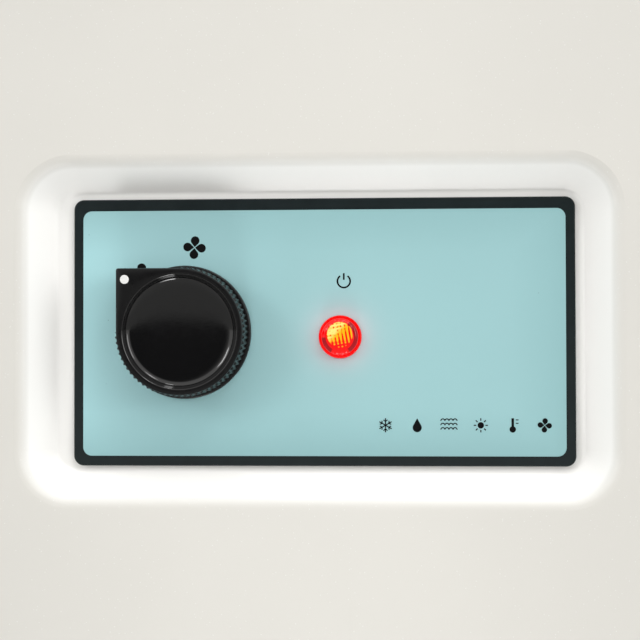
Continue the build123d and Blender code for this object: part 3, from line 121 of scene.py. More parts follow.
class Shader(Tree):
    """A material with one surface shader. Lengths given to its methods are millimetres."""

    def __init__(self, name):
        self.material = bpy.data.materials.new(name)
        self.material.use_nodes = True
        super().__init__(self.material.node_tree)
        self.tree.nodes.clear()
        out = self.tree.nodes.new("ShaderNodeOutputMaterial")
        self.surface = self.tree.nodes.new("ShaderNodeBsdfPrincipled")
        self.tree.links.new(self.surface.outputs[0], out.inputs["Surface"])
        self.place = self.tree.nodes.new("ShaderNodeTexCoord").outputs["Object"]

    def set(self, **values):
        """Sets or links inputs of the surface shader."""
        for key, value in values.items():
            self.feed(self.surface.inputs[key.replace("_", " ")], value)

    def axes(self, origin=(0, 0, 0), size=1.0, turn=0.0):
        """X, Y and Z from origin, in units of size millimetres, turned about Y."""
        moved = self.node("VectorMath", {"operation": "SUBTRACT"})
        self.feed(moved.inputs[0], self.place)
        self.feed(moved.inputs[1], tuple(origin))
        turned = self.node("VectorRotate", {"rotation_type": "Y_AXIS"}, Vector=moved.outputs[0],
                           Angle=turn)
        scaled = self.node("VectorMath", {"operation": "SCALE"}, Scale=1 / (size * MM))
        self.feed(scaled.inputs[0], turned.outputs[0])
        return self.node("SeparateXYZ", Vector=scaled.outputs[0]).outputs

    def noise(self, size, detail=3.0, roughness=0.5, stretch=(1, 1, 1)):
        """Noise whose features are about size millimetres across."""
        mapped = self.node("Mapping", Vector=self.place, Scale=stretch).outputs[0]
        return self.node("TexNoise", Vector=mapped, Scale=1 / (size * MM), Detail=detail,
                         Roughness=roughness).outputs["Fac"]

    def cells(self, size):
        """Distance to the nearest of scattered points about size millimetres apart."""
        return self.node("TexVoronoi", Vector=self.place, Scale=1 / (size * MM)).outputs["Distance"]

    def dots(self, size, radius, edge):
        """1 in scattered dots of radius, falling to 0 at edge: shares of the points' distance."""
        return self.ramp(self.cells(size), radius, edge, 1, 0)

    def stripes(self, axis, pitch, sharp):
        """Waves from 0 to 1 along an axis (0, 1 or 2), pitch millimetres apart."""
        along = self.axes(size=pitch / math.tau)[axis]
        wave = self.calc("MULTIPLY_ADD", self.calc("SINE", along), 0.5, 0.5)
        return self.calc("POWER", wave, sharp)

    def blend(self, amount, one, other):
        """Mixes two colours by amount."""
        made = self.node("Mix", {"data_type": "RGBA"})
        self.feed(made.inputs[0], amount)
        for socket, value in zip([s for s in made.inputs if s.type == "RGBA"], (one, other)):
            self.feed(socket, value)
        return next(o for o in made.outputs if o.type == "RGBA")

    def bump(self, height, depth, strength=1.0):
        """Bump of depth millimetres, on top of any bump that is already there."""
        made = self.node("Bump", Height=height, Strength=strength, Distance=depth * MM)
        socket = self.surface.inputs["Normal"]
        if socket.is_linked:
            self.feed(made.inputs["Normal"], socket.links[0].from_socket)
        self.feed(socket, made.outputs[0])


# ------------------------------------------------------------------ materials
RECESS_X, RECESS_Z = 94.0, 54.0         # half the space round the control recess, millimetres
RECESS_EDGE = 2.0                       # how softly that space ends
RECESS_RIM = (CAD_FRONT - PLATE_MID.y) / MM
RECESS_FADE = 2.5                       # depth over which the painted light on the recess walls comes in
METAL_GRAIN = 0.4


def shade(colour, amount):
    return [min(1.0, c * amount) for c in colour]


def plastic(name, base, rough=(0.4, 0.5), grain=0.35, depth=0.02, specks=None, drift=0.015,
            painted_recess_light=None):
    """Moulded plastic: a fine grain, a slow drift of colour, and if asked specks or painted light on the
    recess walls.
    """
    s = Shader(name)
    slow = s.ramp(s.noise(60, 2), 0.35, 0.65)
    tone = s.blend(slow, shade(base, 1 - drift), shade(base, 1 + drift / 2))
    if specks:
        size, colour = specks
        tone = s.blend(s.dots(size, 0.07, 0.12), tone, colour)
    scuffs = s.ramp(s.noise(9, 5, 0.7, (1, 1, 0.25)), 0.62, 0.75)
    tone = s.blend(scuffs, tone, shade(base, 0.985))
    # Painted light: surfaces sunk into the control recess are whitened, standing in for the light they
    # catch.
    if painted_recess_light:
        across, out, up = s.axes(PLATE_MID)
        near_x = s.ramp(s.calc("ABSOLUTE", across), RECESS_X - RECESS_EDGE, RECESS_X, 1, 0)
        near_z = s.ramp(s.calc("ABSOLUTE", up), RECESS_Z - RECESS_EDGE, RECESS_Z, 1, 0)
        inside = s.calc("MULTIPLY", near_x, near_z)
        sunk = s.ramp(out, RECESS_RIM, RECESS_RIM + RECESS_FADE)
        tone = s.blend(s.calc("MULTIPLY", inside, sunk), tone, painted_recess_light)
    s.set(Base_Color=tone)
    s.set(Roughness=s.ramp(s.noise(1.5), 0.3, 0.7, *rough))
    s.bump(s.noise(grain, 2), depth)
    return s


def metal(name, base, rough=(0.25, 0.4)):
    """Bare metal with fine marks."""
    s = Shader(name)
    s.set(Metallic=1.0)
    wear = s.ramp(s.noise(12, 4), 0.35, 0.7)
    s.set(Base_Color=s.blend(wear, base, shade(base, 0.8)))
    s.set(Roughness=s.ramp(s.noise(METAL_GRAIN, 3, 0.6), 0.3, 0.7, *rough))
    s.bump(s.noise(METAL_GRAIN, 2), 0.008)
    return s


def fins(name, base, axis, pitch):
    """Thin metal plates side by side, with painted shade in the gaps between them."""
    s = metal(name, base)
    plates = s.stripes(axis, pitch, 0.6)
    # Painted shade: the gaps between the plates are darkened, standing in for the shade between the fins.
    s.set(Base_Color=s.blend(plates, shade(base, 0.12), base))
    s.bump(plates, 0.35)
    return s


def mesh_cloth(name, base, pitch):
    """Woven filter mesh: threads round holes filled with painted shade, and a little dust."""
    s = Shader(name)
    threads = s.calc("MAXIMUM", *[s.stripes(axis, pitch, 3.0) for axis in (0, 2)])
    dust = s.ramp(s.noise(25, 4), 0.45, 0.75)
    # Painted shade: the holes between the threads are darkened, standing in for the shade seen through
    # them.
    s.set(Base_Color=s.blend(threads, shade(base, 0.25), s.blend(dust, base, shade(base, 0.8))))
    s.set(Roughness=0.7)
    s.bump(threads, 0.15)
    return s


TEAL, TEAL_DRIFT = (0.292, 0.500, 0.520), (0.302, 0.516, 0.536)
# Painted light and shade: a lighter teal for the left of the film, and a darker teal for its top, bottom
# and right edges.
TEAL_PAINTED_LIGHT, TEAL_PAINTED_SHADE, TEAL_DUST = (0.368, 0.632, 0.664), (0.256, 0.452, 0.470), (0.2, 0.33, 0.34)
PAINTED_LIGHT_LEFT, PAINTED_SHADE_RIGHT, PAINTED_SHADE_HEIGHT = (-72, -8), (56, 73), (24, 38)   # millimetres from the middle, where the painted light and shade come in
PAINTED_SHADE_SHARE = 0.8


def film_material():
    """Teal film: painted light to the left, painted shade towards its other edges, and a few specks of
    dust.
    """
    s = Shader("teal_film")
    slow = s.ramp(s.noise(50, 2), 0.3, 0.7)
    tone = s.blend(slow, TEAL, TEAL_DRIFT)
    across, _, up = s.axes(PLATE_MID)
    # Painted light: lighter teal towards the left.
    tone = s.blend(s.ramp(across, *PAINTED_LIGHT_LEFT, 1, 0), tone, TEAL_PAINTED_LIGHT)
    # Painted shade: darker teal near the top, bottom and right edges.
    edge = s.calc("MAXIMUM", s.ramp(s.calc("ABSOLUTE", up), *PAINTED_SHADE_HEIGHT), s.ramp(across, *PAINTED_SHADE_RIGHT))
    tone = s.blend(s.calc("MULTIPLY", edge, PAINTED_SHADE_SHARE), tone, TEAL_PAINTED_SHADE)
    s.set(Base_Color=s.blend(s.dots(9.0, 0.012, 0.02), tone, TEAL_DUST))
    s.set(Roughness=s.ramp(s.noise(2.0), 0.3, 0.7, 0.38, 0.48), Specular_IOR_Level=0.35)
    s.bump(s.noise(0.35, 2), 0.004)
    return s


def dark_gloss(name, base, rough, dust=None, gloss=0.3):
    """Black plastic with a soft shine and, if asked, a few pale specks of dust."""
    s = Shader(name)
    tone = s.blend(s.ramp(s.noise(6), 0.3, 0.7), base, shade(base, 1.2))
    if dust:
        tone = s.blend(s.dots(dust, 0.03, 0.05), tone, (0.10, 0.10, 0.10))
    s.set(Base_Color=tone, Specular_IOR_Level=gloss)
    s.set(Roughness=s.ramp(s.noise(2.0, 4), 0.3, 0.7, *rough))
    s.bump(s.noise(0.4, 2), 0.003)
    return s


RED, DEEP_RED, LENS_RED = (0.85, 0.0, 0.0), (0.20, 0.0, 0.005), (0.08, 0.0, 0.0)
YELLOW, CREAM = (1.0, 0.55, 0.01), (1.0, 0.90, 0.25)
RIB_PITCH, RIB_LEAN, RIB_DEPTH = 1.1, math.radians(10), 0.12
GLOW_R, GLOW_UP = 3.9, 0.6              # the bright disc, and how far its middle is above the lens's
ARC_FROM, ARC_TO, ARC_EDGE = 4.1, 5.5, 0.2           # radii of the dark arcs and their soft edge
RIGHT_ARC_HALF, LEFT_ARC_HALF = (0.95, 1.05), (0.45, 0.55)           # radians, with a soft end
LEFT_ARC_AT = 2.6                       # radians, measured downwards from the right


def lamp_material():
    """Lit neon lens: bright ribs inside, brightest up and to the left, and two dark arcs round them."""
    s = Shader("lamp_red")
    across, _, up = s.axes(LAMP_AXIS)

    def distance(x, z):
        return s.calc("SQRT", s.calc("ADD", s.calc("POWER", x, 2.0), s.calc("POWER", z, 2.0)))

    reach = distance(across, up)
    inner = distance(across, s.calc("SUBTRACT", up, GLOW_UP))
    disc = s.ramp(inner, GLOW_R - 0.35, GLOW_R + 0.15, 1, 0, "SMOOTHSTEP")
    turned = s.axes(LAMP_AXIS, RIB_PITCH / math.tau, RIB_LEAN)
    ribs, rows = (s.calc("MULTIPLY_ADD", s.calc("SINE", turned[i]), 0.5, 0.5) for i in (0, 2))
    blotch = s.ramp(s.noise(0.9, 2), 0.35, 0.6)
    left = s.ramp(s.calc("SUBTRACT", up, across), -1.2, 2.8)
    low = s.ramp(up, -3.0, -0.4)
    filled = s.calc("MULTIPLY", left, s.calc("MAXIMUM", blotch, rows))
    lines = s.calc("MULTIPLY", ribs, s.calc("MAXIMUM", low, s.calc("MULTIPLY", rows, 0.8)))
    bright = s.calc("MINIMUM", 1.0, s.calc("ADD", lines, s.calc("MULTIPLY", filled, low)))
    glow = s.calc("MULTIPLY", disc, bright)
    hot = s.calc("MULTIPLY", disc, s.calc("MULTIPLY", filled, s.ramp(left, 0.6, 1.0)))
    angle = s.calc("ARCTAN2", up, across)
    band = s.calc("MULTIPLY", s.ramp(reach, ARC_FROM, ARC_FROM + ARC_EDGE),
                  s.ramp(reach, ARC_TO - ARC_EDGE, ARC_TO, 1, 0))
    right_arc = s.ramp(s.calc("ABSOLUTE", angle), *RIGHT_ARC_HALF, 1, 0)
    left_arc = s.ramp(s.calc("ABSOLUTE", s.calc("ADD", angle, LEFT_ARC_AT)), *LEFT_ARC_HALF, 1, 0)
    dark = s.calc("MULTIPLY", band, s.calc("MAXIMUM", right_arc, left_arc))
    light = s.blend(s.ramp(glow, 0.25, 0.75), s.blend(dark, RED, DEEP_RED), s.blend(hot, YELLOW, CREAM))
    s.set(Base_Color=LENS_RED, Specular_IOR_Level=0.35, Roughness=0.1)
    s.set(Emission_Color=light, Emission_Strength=1.0)
    s.bump(ribs, RIB_DEPTH, 0.6)
    return s


HOUSING_TONE, HOUSING_SPECKS = (0.650, 0.637, 0.598), (1.7, (0.73, 0.73, 0.70))
# Painted light: a whiter colour for the control recess walls, standing in for the light they catch.
RECESS_PAINTED_LIGHT = (0.90, 0.895, 0.875)
PAN_TONE, PAN_SPECKS = (0.66, 0.65, 0.61), (2.1, (0.72, 0.72, 0.70))
MOVING_VANES = [n for n in NODES if n.startswith(("louvre_blade", "guide_vane"))]
MATERIALS = {
    # The housing has painted light that whitens its control recess walls.
    "housing": (
        plastic("housing_plastic", HOUSING_TONE, (0.42, 0.52), 0.5, 0.02, HOUSING_SPECKS,
                painted_recess_light=RECESS_PAINTED_LIGHT),
        ["front_shell", "rear_shell_upper", "rear_shell_lower", "top_cover", "tank_front"]),
    "pan": (
        plastic("pan_plastic", PAN_TONE, (0.42, 0.52), specks=PAN_SPECKS),
        ["base_pan", "intake_grille", "condenser_grille", "exhaust_collar", "louvre_frame"]),
    "grey_trim": (
        plastic("trim_plastic", (0.42, 0.43, 0.43), (0.45, 0.55), 0.8, 0.05),
        ["side_handles"]),
    "blades": (
        plastic("blade_plastic", (0.70, 0.69, 0.65), (0.35, 0.45)),
        ["louvre_link", "guide_link", *MOVING_VANES]),
    "zinc": (
        metal("zinc_plate", (0.60, 0.60, 0.62)),
        ["shell_screws", "panel_nuts", "switch_shaft", "blower_shaft", "fan_shaft", "run_capacitor",
         *[f"castor_fork_{c}" for c in CASTORS]]),
    "castor_tyre": (
        plastic("castor_rubber", (0.055, 0.055, 0.06), (0.5, 0.75), 0.5, 0.04, drift=0.2),
        [f"castor_wheel_{c}" for c in CASTORS]),
    "switch_black": (
        plastic("black_plastic", (0.012, 0.013, 0.013), (0.35, 0.5)),
        ["selector_switch", "cord_gland", "fan_wheel", "blower_wheel"]),
    "compressor_black": (
        plastic("black_enamel", (0.010, 0.010, 0.011), (0.18, 0.35), 1.2, 0.02),
        ["compressor"]),
    "lamp_white": (
        plastic("white_plastic", (0.72, 0.72, 0.70)),
        ["lamp_body"]),
    "marker_white": (
        plastic("marker_white", (0.74, 0.74, 0.73), (0.3, 0.4), 0.3, 0.01),
        ["knob_dot"]),
    "rubber_grey": (
        plastic("rubber", (0.05, 0.05, 0.052), (0.7, 0.85), 0.25),
        ["drain_plug", "compressor_grommets"]),
    "tank_clear": (
        plastic("tank_plastic", (0.60, 0.66, 0.68), (0.3, 0.4)),
        ["drain_tank"]),
    "filter_mesh": (
        mesh_cloth("filter_mesh", (0.50, 0.52, 0.54), 1.6),
        ["air_filter"]),
    "foam_white": (
        plastic("foam_plastic", (0.80, 0.80, 0.78), (0.75, 0.85), 2.2, 0.15),
        ["mid_deck", "blower_housing", "fan_housing"]),
    "coil_aluminium": (
        fins("coil_aluminium", (0.72, 0.73, 0.74), 0, 1.9),
        ["evaporator_coil", "condenser_coil"]),
    "motor_steel": (
        metal("motor_steel", (0.50, 0.50, 0.51), (0.3, 0.5)),
        ["blower_motor", "fan_motor"]),
    "copper": (
        metal("copper", (0.80, 0.42, 0.26), (0.2, 0.35)),
        ["refrigerant_pipes"]),
    "teal_film": (
        film_material(),
        ["panel_overlay"]),
    "plate_black": (
        dark_gloss("border_black", (0.010, 0.015, 0.016), (0.2, 0.26)),
        ["panel_plate"]),
    "knob_black": (
        dark_gloss("knob_black", (0.003, 0.003, 0.0033), (0.26, 0.34), 2.6, 0.24),
        ["knob_body"]),
    "knob_gloss": (
        dark_gloss("knob_gloss", (0.002, 0.002, 0.0023), (0.07, 0.11), None, 0.5),
        ["knob_insert"]),
    "lamp_red": (
        lamp_material(),
        ["lamp_lens"]),
}
INK = dark_gloss("print_black", (0.002, 0.002, 0.0025), (0.4, 0.5), None, 0.12).material
for shader, nodes in MATERIALS.values():
    for node in nodes:
        slots = NODES[node].data.materials
        slots.clear()
        slots.append(shader.material)


# ------------------------------------------------------------------ pieces drawn on the front
SHARP_EDGE = math.radians(35)


def piece(name, mesh, material, body):
    """Makes a scene object from a bmesh, in metres."""
    bmesh.ops.recalc_face_normals(mesh, faces=mesh.faces)
    data = bpy.data.meshes.new(name)
    mesh.to_mesh(data)
    mesh.free()
    data.materials.append(material)
    made = bpy.data.objects.new(name, data)
    bpy.context.scene.collection.objects.link(made)
    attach(made, body)
    return made


def loft(name, levels, axis, base_y, material, body, samples, capped=(True, True)):
    """A skin round an axis out of the front. Each level is (reach of an angle, millimetres out).

    capped says whether the first and the last level are closed.
    """
    mesh = bmesh.new()
    angles = [math.tau * i / samples for i in range(samples)]
    rows = []
    for reach, out in levels:
        row = []
        for angle in angles:
            across, up = reach(angle) * math.cos(angle), reach(angle) * math.sin(angle)
            row.append(mesh.verts.new((axis.x + across * MM, base_y - out * MM, axis.z + up * MM)))
        rows.append(row)
    for low, high in zip(rows, rows[1:]):
        for i in range(samples):
            j = (i + 1) % samples
            mesh.faces.new((low[i], high[i], high[j], low[j]))
    for row in [row for row, closed in zip((rows[0], rows[-1]), capped) if closed]:
        hub = mesh.verts.new(sum((v.co for v in row), Vector()) / samples)
        for i in range(samples):
            mesh.faces.new((row[i], row[(i + 1) % samples], hub))
    for face in mesh.faces:
        face.smooth = True
    made = piece(name, mesh, material, body)
    split_sharp(made)
    return made


def split_sharp(made):
    """Keeps the sharp edges of a smooth-shaded piece crisp."""
    mesh = bmesh.new()
    mesh.from_mesh(made.data)
    for edge in mesh.edges:
        edge.smooth = len(edge.link_faces) == 2 and edge.calc_face_angle(0) < SHARP_EDGE
    mesh.to_mesh(made.data)
    mesh.free()


# ------------------------------------------------------------------ knob
TEETH, TOOTH_DEPTH = 72, 0.5
FLANGE_R, FLANGE_H = 19.9, 2.0
GRIP_R, GRIP_FROM = 19.1, 3.0           # the fluted part, and where the pointer starts above it
CAP_R, POINTER_HALF, TIP_R = 18.55, 18.6, 0.6
CAP_LOW = 1.1                           # the smooth cap's lower edge, measured down from the top
LIP_R, BOWL_SEAT = 16.9, 3.4            # mouth of the dished top, and how deep its wall goes
DOT_PROUD = 0.04                        # how far the white marker stands out
KNOB_H = (KNOB_BASE - KNOB_TOP) / MM
KNOB_SAMPLES = 10 * TEETH
BOWL_SAMPLES = 180
BOWL = (                                # (how far inside the lip, how deep) from the lip inwards
    (0, 0.10), (0.12, 0.16), (0.35, 0.45), (0.7, 1.15), (1.1, 1.75), (1.6, 2.12), (2.4, 2.36),
    (4, 2.55), (7, 2.75), (11, 2.9), (LIP_R - 2, 2.97))


def circle(radius):
    return lambda angle: radius


def fluted(radius, depth=TOOTH_DEPTH):
    return lambda angle: radius - depth * (0.5 - 0.5 * math.cos(TEETH * angle))


def teardrop(rest, half):
    """A round outline with a square corner up and to the left."""
    def reach(angle):
        if not math.pi / 2 <= angle <= math.pi:
            return rest(angle)
        c, s = abs(math.cos(angle)), abs(math.sin(angle))
        inset = half - TIP_R
        along = (c + s) * inset
        rounded = along + math.sqrt(max(0.0, along * along - 2 * inset * inset + TIP_R * TIP_R))
        if min(c, s) * rounded > inset:
            return rounded
        return half / max(c, s)
    return reach


def make_knob():
    top = KNOB_H - DOT_PROUD
    grip = fluted(GRIP_R)
    flange = [(FLANGE_R - 0.3, 0.0), (FLANGE_R - 0.05, 0.2), (FLANGE_R, 0.5), (FLANGE_R, 1.4),
              (FLANGE_R - 0.15, 1.8), (FLANGE_R - 0.45, FLANGE_H)]
    mouth = [(LIP_R + 0.25, top), (LIP_R + 0.02, top - 0.08), (LIP_R - 0.1, top - 0.6),
             (LIP_R - 0.1, top - BOWL_SEAT)]
    body = [
        *[(circle(radius), out) for radius, out in flange],
        (grip, FLANGE_H), (grip, GRIP_FROM),
        (teardrop(grip, POINTER_HALF), GRIP_FROM),
        (teardrop(grip, POINTER_HALF), top - CAP_LOW - 0.4),
        (teardrop(fluted(GRIP_R - 0.25, 0.3), POINTER_HALF), top - CAP_LOW - 0.1),
        *[(teardrop(circle(CAP_R - cut), POINTER_HALF - cut), top - down)
          for cut, down in ((0, CAP_LOW), (0, 0.45), (0.12, 0.15), (0.4, 0))],
        *[(circle(radius), out) for radius, out in mouth],
    ]
    shell = loft("knob_shell", body, KNOB_AXIS, KNOB_BASE, MATERIALS["knob_black"][0].material,
                 "knob", KNOB_SAMPLES)
    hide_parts("knob_body")
    bowl = [(circle(LIP_R - inside), top - down) for inside, down in reversed(BOWL)]
    dish = loft("knob_bowl", bowl, KNOB_AXIS, KNOB_BASE, MATERIALS["knob_gloss"][0].material,
                "knob", BOWL_SAMPLES, (True, False))
    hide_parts("knob_insert")


# ------------------------------------------------------------------ pilot lamp
LAMP_SAMPLES = 96
DOME = (                                # (radius, millimetres out), from the groove to the top
    (5.62, 1.05), (5.5, 1.3), (5.5, 2.3), (5.36, 2.75), (5.0, 3.1), (4.4, 3.35), (3.3, 3.5),
    (1.8, 3.57))
DOME_FLAT = 0.6                         # radius of the flat on the very top


def make_lamp():
    out = (LAMP_BASE - LAMP_TOP) / MM
    flange = (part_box("lamp_lens")[1].x - LAMP_AXIS.x) / MM
    levels = [(flange - 0.15, 0.0), (flange, 0.15), (flange, 0.75), (flange - 0.18, 1.0),
              (flange - 0.6, 1.1), *DOME, (DOME_FLAT, out)]
    lens = loft("lamp_dome", [(circle(r), d) for r, d in levels], LAMP_AXIS, LAMP_BASE,
                MATERIALS["lamp_red"][0].material, "casing", LAMP_SAMPLES)
    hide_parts("lamp_lens")


# ------------------------------------------------------------------ printed marks
INK_T = 0.03                            # thickness of the ink
INK_STEP, INK_SUNK = 0.001, 0.002       # each shape's extra height, and its foot above the film
FAN_MARK = (-38.4, 25.4)
DOT_MARK, DOT_MARK_R = (-54.4, 19.4), 1.35
POWER_MARK = (6.4, 15.3)
ROW_START, ROW_PITCH, ROW_UP = 18.7, 9.4, -27.8
SMALL_FAN = 0.62                        # size of the row's fan against the other one
PATCH_SAMPLES, ARC_SAMPLES, WAVE_SAMPLES = 28, 36, 12
BLADES, BLADE_TURN = 4, 82              # the fan's blades, and the first one's angle in degrees
BLADE_AT, BLADE_R, BLADE_OPEN = 2.1, 1.3, 125
SIGN_R = 2.1                            # half the height of a small sign
SIGN_LINE, FINE_LINE = 0.34, 0.3
DROP_R, DROP_DOWN = 1.35, 0.7
WAVE_R, WAVE_LINE, WAVE_GAP = 0.6, 0.32, 1.3
BALL_R, RAY_FROM, RAYS = 0.95, 1.35, 8
POWER_R, POWER_LINE = 1.9, 0.5


def on_circle(x, z, radius, angle):
    return x + radius * math.cos(angle), z + radius * math.sin(angle)


def round_patch(x, z, radius):
    return [on_circle(x, z, radius, math.tau * i / PATCH_SAMPLES) for i in range(PATCH_SAMPLES)]


def arc_band(x, z, radius, width, start, end, samples=ARC_SAMPLES):
    """A curved bar, between two angles in degrees."""
    angles = [math.radians(start + (end - start) * i / samples) for i in range(samples + 1)]
    outer = [on_circle(x, z, radius + width / 2, a) for a in angles]
    inner = [on_circle(x, z, radius - width / 2, a) for a in angles]
    return outer + inner[::-1]


def bar(x0, z0, x1, z1, width):
    """A straight bar between two points."""
    length = math.hypot(x1 - x0, z1 - z0)
    nx, nz = -(z1 - z0) / length * width / 2, (x1 - x0) / length * width / 2
    return [(x0 + nx, z0 + nz), (x1 + nx, z1 + nz), (x1 - nx, z1 - nz), (x0 - nx, z0 - nz)]


def fan_sign(x, z, size=1.0):
    """Four rounded blades round a small hub."""
    shapes = []
    for i in range(BLADES):
        turn = math.radians(BLADE_TURN - 360 / BLADES * i)
        blade = [(0.25, -0.1)]
        for k in range(17):
            a = math.radians(-BLADE_OPEN + 2 * BLADE_OPEN * k / 16)
            blade.append(on_circle(BLADE_AT, 0.1, BLADE_R, a))
        blade.append((0.25, 0.1))
        shapes.append([(x + size * (u * math.cos(turn) - v * math.sin(turn)),
                        z + size * (u * math.sin(turn) + v * math.cos(turn))) for u, v in blade])
    return shapes


def power_sign(x, z):
    """A ring open at the top, with a short bar in the gap."""
    return [arc_band(x, z - 0.2, POWER_R, POWER_LINE, 125, 415), bar(x, z + 0.2, x, z + 2.2, POWER_LINE)]


def snow_sign(x, z):
    """Three crossed bars with a small fork near each end."""
    shapes = []
    for i in range(3):
        a = math.radians(90 + 60 * i)
        dx, dz = SIGN_R * math.cos(a), SIGN_R * math.sin(a)
        shapes.append(bar(x - dx, z - dz, x + dx, z + dz, SIGN_LINE))
        for end in (-1, 1):
            fork = (x + end * dx * 0.52, z + end * dz * 0.52)
            for side in (-1, 1):
                tip = on_circle(*fork, end * 0.8, a + side * math.radians(50))
                shapes.append(bar(*fork, *tip, FINE_LINE))
    return shapes


def drop_sign(x, z):
    lower = [on_circle(x, z - DROP_DOWN, DROP_R, math.radians(35 - 250 * k / 24)) for k in range(25)]
    return [[(x, z + SIGN_R), *lower]]


def wind_sign(x, z):
    """Three rows of waves, each of four half circles."""
    shapes = []
    for row in (-WAVE_GAP, 0.0, WAVE_GAP):
        for i in range(4):
            start, end = (0, 180) if i % 2 else (180, 0)
            shapes.append(arc_band(x + WAVE_R * (2 * i - 3), z + row, WAVE_R, WAVE_LINE, start, end,
                                   WAVE_SAMPLES))
    return shapes


def sun_sign(x, z):
    angles = [math.tau * i / RAYS for i in range(RAYS)]
    rays = [bar(*on_circle(x, z, RAY_FROM, a), *on_circle(x, z, SIGN_R, a), SIGN_LINE) for a in angles]
    return [round_patch(x, z, BALL_R), *rays]


def heat_sign(x, z):
    """A thermometer with two marks beside it."""
    marks = [bar(x + 0.9, z + up, x + 1.7, z + up, FINE_LINE) for up in (1.6, 0.6)]
    return [round_patch(x, z - 1.2, BALL_R), bar(x, z - 1.2, x, z + SIGN_R, 0.75), *marks]


def make_mark(name, shapes):
    """Thin ink shapes on the film, from outlines in millimetres from the plate's middle."""
    mesh = bmesh.new()
    for layer, outline in enumerate(shapes):
        rows = []
        for out in (INK_SUNK, INK_T + INK_STEP * layer):
            y = FILM_FACE - out * MM
            rows.append([mesh.verts.new((PLATE_MID.x + u * MM, y, PLATE_MID.z + v * MM))
                         for u, v in outline])
        for i in range(len(outline)):
            j = (i + 1) % len(outline)
            mesh.faces.new((rows[0][i], rows[0][j], rows[1][j], rows[1][i]))
        for row in rows:
            mesh.faces.new(row)
    piece(name, mesh, INK, "casing")


def make_marks():
    make_mark("mark_fan", fan_sign(*FAN_MARK))
    make_mark("mark_dot", [round_patch(*DOT_MARK, DOT_MARK_R)])
    make_mark("mark_power", power_sign(*POWER_MARK))
    signs = (snow_sign, drop_sign, wind_sign, sun_sign, heat_sign)
    for i, sign in enumerate(signs):
        make_mark(f"mark_{sign.__name__}", sign(ROW_START + i * ROW_PITCH, ROW_UP))
    make_mark("mark_fan_small", fan_sign(ROW_START + len(signs) * ROW_PITCH, ROW_UP, SMALL_FAN))


# ------------------------------------------------------------------ floor, lights and camera
FLOOR_SIZE = 80.0
FLOOR_TONES = (0.480, 0.480, 0.475), (0.490, 0.490, 0.485)


def floor():
    mesh = bpy.data.meshes.new("floor")
    h = FLOOR_SIZE / 2
    mesh.from_pydata([(-h, -h, 0), (h, -h, 0), (h, h, 0), (-h, h, 0)], [], [(0, 1, 2, 3)])
    made = bpy.data.objects.new("floor", mesh)
    bpy.context.scene.collection.objects.link(made)
    s = Shader("floor_pale")
    s.set(Base_Color=s.blend(s.ramp(s.noise(300, 2), 0.3, 0.7), *FLOOR_TONES))
    s.set(Roughness=0.9, Specular_IOR_Level=0.1)
    mesh.materials.append(s.material)


def area_light(name, place, target, size, watts, colour=(1, 1, 1), spread=180):
    data = bpy.data.lights.new(name, "AREA")
    data.shape = "RECTANGLE"
    data.size, data.size_y = size
    data.energy = watts
    data.color = colour
    data.spread = math.radians(spread)
    made = bpy.data.objects.new(name, data)
    bpy.context.scene.collection.objects.link(made)
    made.location = place
    made.rotation_euler = (Vector(target) - Vector(place)).to_track_quat("-Z", "Y").to_euler()
    made.visible_camera = False
    return made


SKY_REAR, SKY_SIDES = 0.90, 1.45        # brightness behind, and all round the front
SKY_UP, SKY_RIGHT = 0.08, 0.04          # how much it grows upwards and to the right
SKY_DARK = 0.06                         # share left straight in front, where a camera would stand
SIDES_FROM, SIDES_FULL = 0.05, 0.35     # how far forward a direction points
DARK_FROM, DARK_FULL = math.cos(math.radians(40)), math.cos(math.radians(20))
SKY_COLOUR = (1.0, 0.992, 0.975, 1)


def world():
    """Soft light from all round: brightest in a ring round the front, and dark in the ring's middle."""
    made = bpy.data.worlds.new("studio")
    bpy.context.scene.world = made
    made.use_nodes = True
    t = Tree(made.node_tree)
    back = made.node_tree.nodes["Background"]
    back.inputs["Color"].default_value = SKY_COLOUR
    towards = t.node("TexCoord").outputs["Generated"]
    right, depth, up = t.node("SeparateXYZ", Vector=towards).outputs
    forward = t.calc("MULTIPLY", depth, -1.0)
    level = t.ramp(forward, SIDES_FROM, SIDES_FULL, SKY_REAR, SKY_SIDES, "SMOOTHSTEP")
    level = t.calc("MULTIPLY_ADD", up, SKY_UP, level)
    level = t.calc("MULTIPLY_ADD", right, SKY_RIGHT, level)
    dark = t.ramp(forward, DARK_FROM, DARK_FULL, 1.0, SKY_DARK, "SMOOTHSTEP")
    t.feed(back.inputs["Strength"], t.calc("MULTIPLY", level, dark))


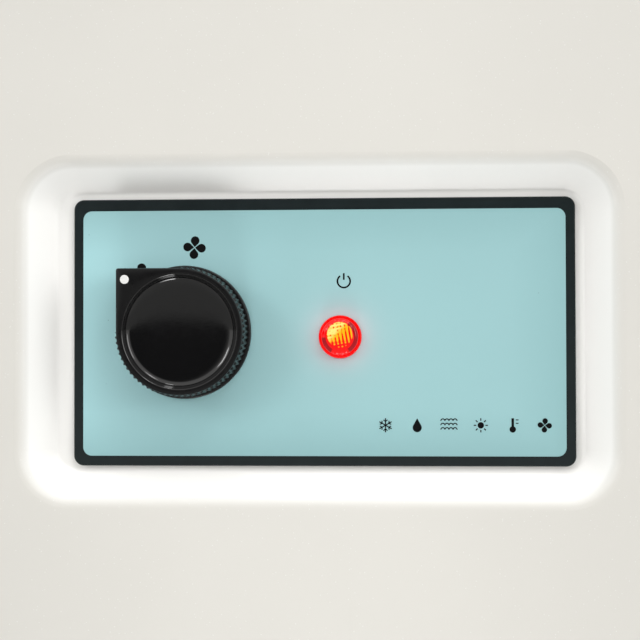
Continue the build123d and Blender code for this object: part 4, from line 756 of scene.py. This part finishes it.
PANEL = (PLATE_MID.x, FILM_FACE, PLATE_MID.z)
LIGHTS = {                              # place, size and watts of each large light
    "key_above": ((0.5, -0.95, 1.7), (0.35, 0.35), 3),
    "window_left": ((-1.1, -1.1, 1.0), (0.3, 0.4), 3.5),
    "window_right": ((1.3, -0.9, 1.0), (0.5, 0.8), 6),
}
STRIPS = {                              # place and watts of each narrow light
    "strip_above": ((0, -0.42, 1.5), 0.02),
    "strip_below": ((0, -0.34, 0.03), 0.035),
}
STRIP_SIZE, STRIP_SPREAD = (0.15, 0.15), 30
GLOW_SIZE, GLOW_WATTS, GLOW_COLOUR = 0.0165, 0.0011, (1.0, 0.16, 0.18)
GLOW_OUT = 0.5 * MM                     # how far in front of the lens the glow's light is
CAMERA_DISTANCE = 0.45
CAMERA_RIGHT, CAMERA_DOWN = 25.5 * MM, 5.4 * MM      # its foot on the film, from the plate's middle
CAMERA_LEFTWARD, CAMERA_UPWARD, CAMERA_ROLL = (math.radians(a) for a in (3.339, 1.137, 0.121))
CAMERA_LENS, CAMERA_SENSOR = 85.0, 36


def camera():
    data = bpy.data.cameras.new("camera")
    data.sensor_width = CAMERA_SENSOR
    data.lens = CAMERA_LENS
    data.clip_start = 0.01
    made = bpy.data.objects.new("camera", data)
    bpy.context.scene.collection.objects.link(made)
    made.location = (PLATE_MID.x + CAMERA_RIGHT, FILM_FACE - CAMERA_DISTANCE, PLATE_MID.z - CAMERA_DOWN)
    made.rotation_mode = "XYZ"
    made.rotation_euler = (math.pi / 2 + CAMERA_UPWARD, CAMERA_ROLL, CAMERA_LEFTWARD)
    bpy.context.scene.camera = made


def lamp_glow():
    """Red light that the lit lens throws on the film round it."""
    place = Vector((LAMP_AXIS.x, LAMP_TOP - GLOW_OUT, LAMP_AXIS.z))
    made = area_light("lamp_glow", place, place + Vector((0, 1, 0)), (GLOW_SIZE, GLOW_SIZE), GLOW_WATTS,
                      GLOW_COLOUR)
    made.data.shape = "DISK"
    made.visible_glossy = False


make_knob()
make_lamp()
make_marks()
floor()
world()
for light, (place, size, watts) in LIGHTS.items():
    area_light(light, place, PANEL, size, watts)
for strip, (place, watts) in STRIPS.items():
    area_light(strip, place, PANEL, STRIP_SIZE, watts, spread=STRIP_SPREAD)
lamp_glow()
camera()
bpy.context.scene.view_settings.view_transform = "Standard"
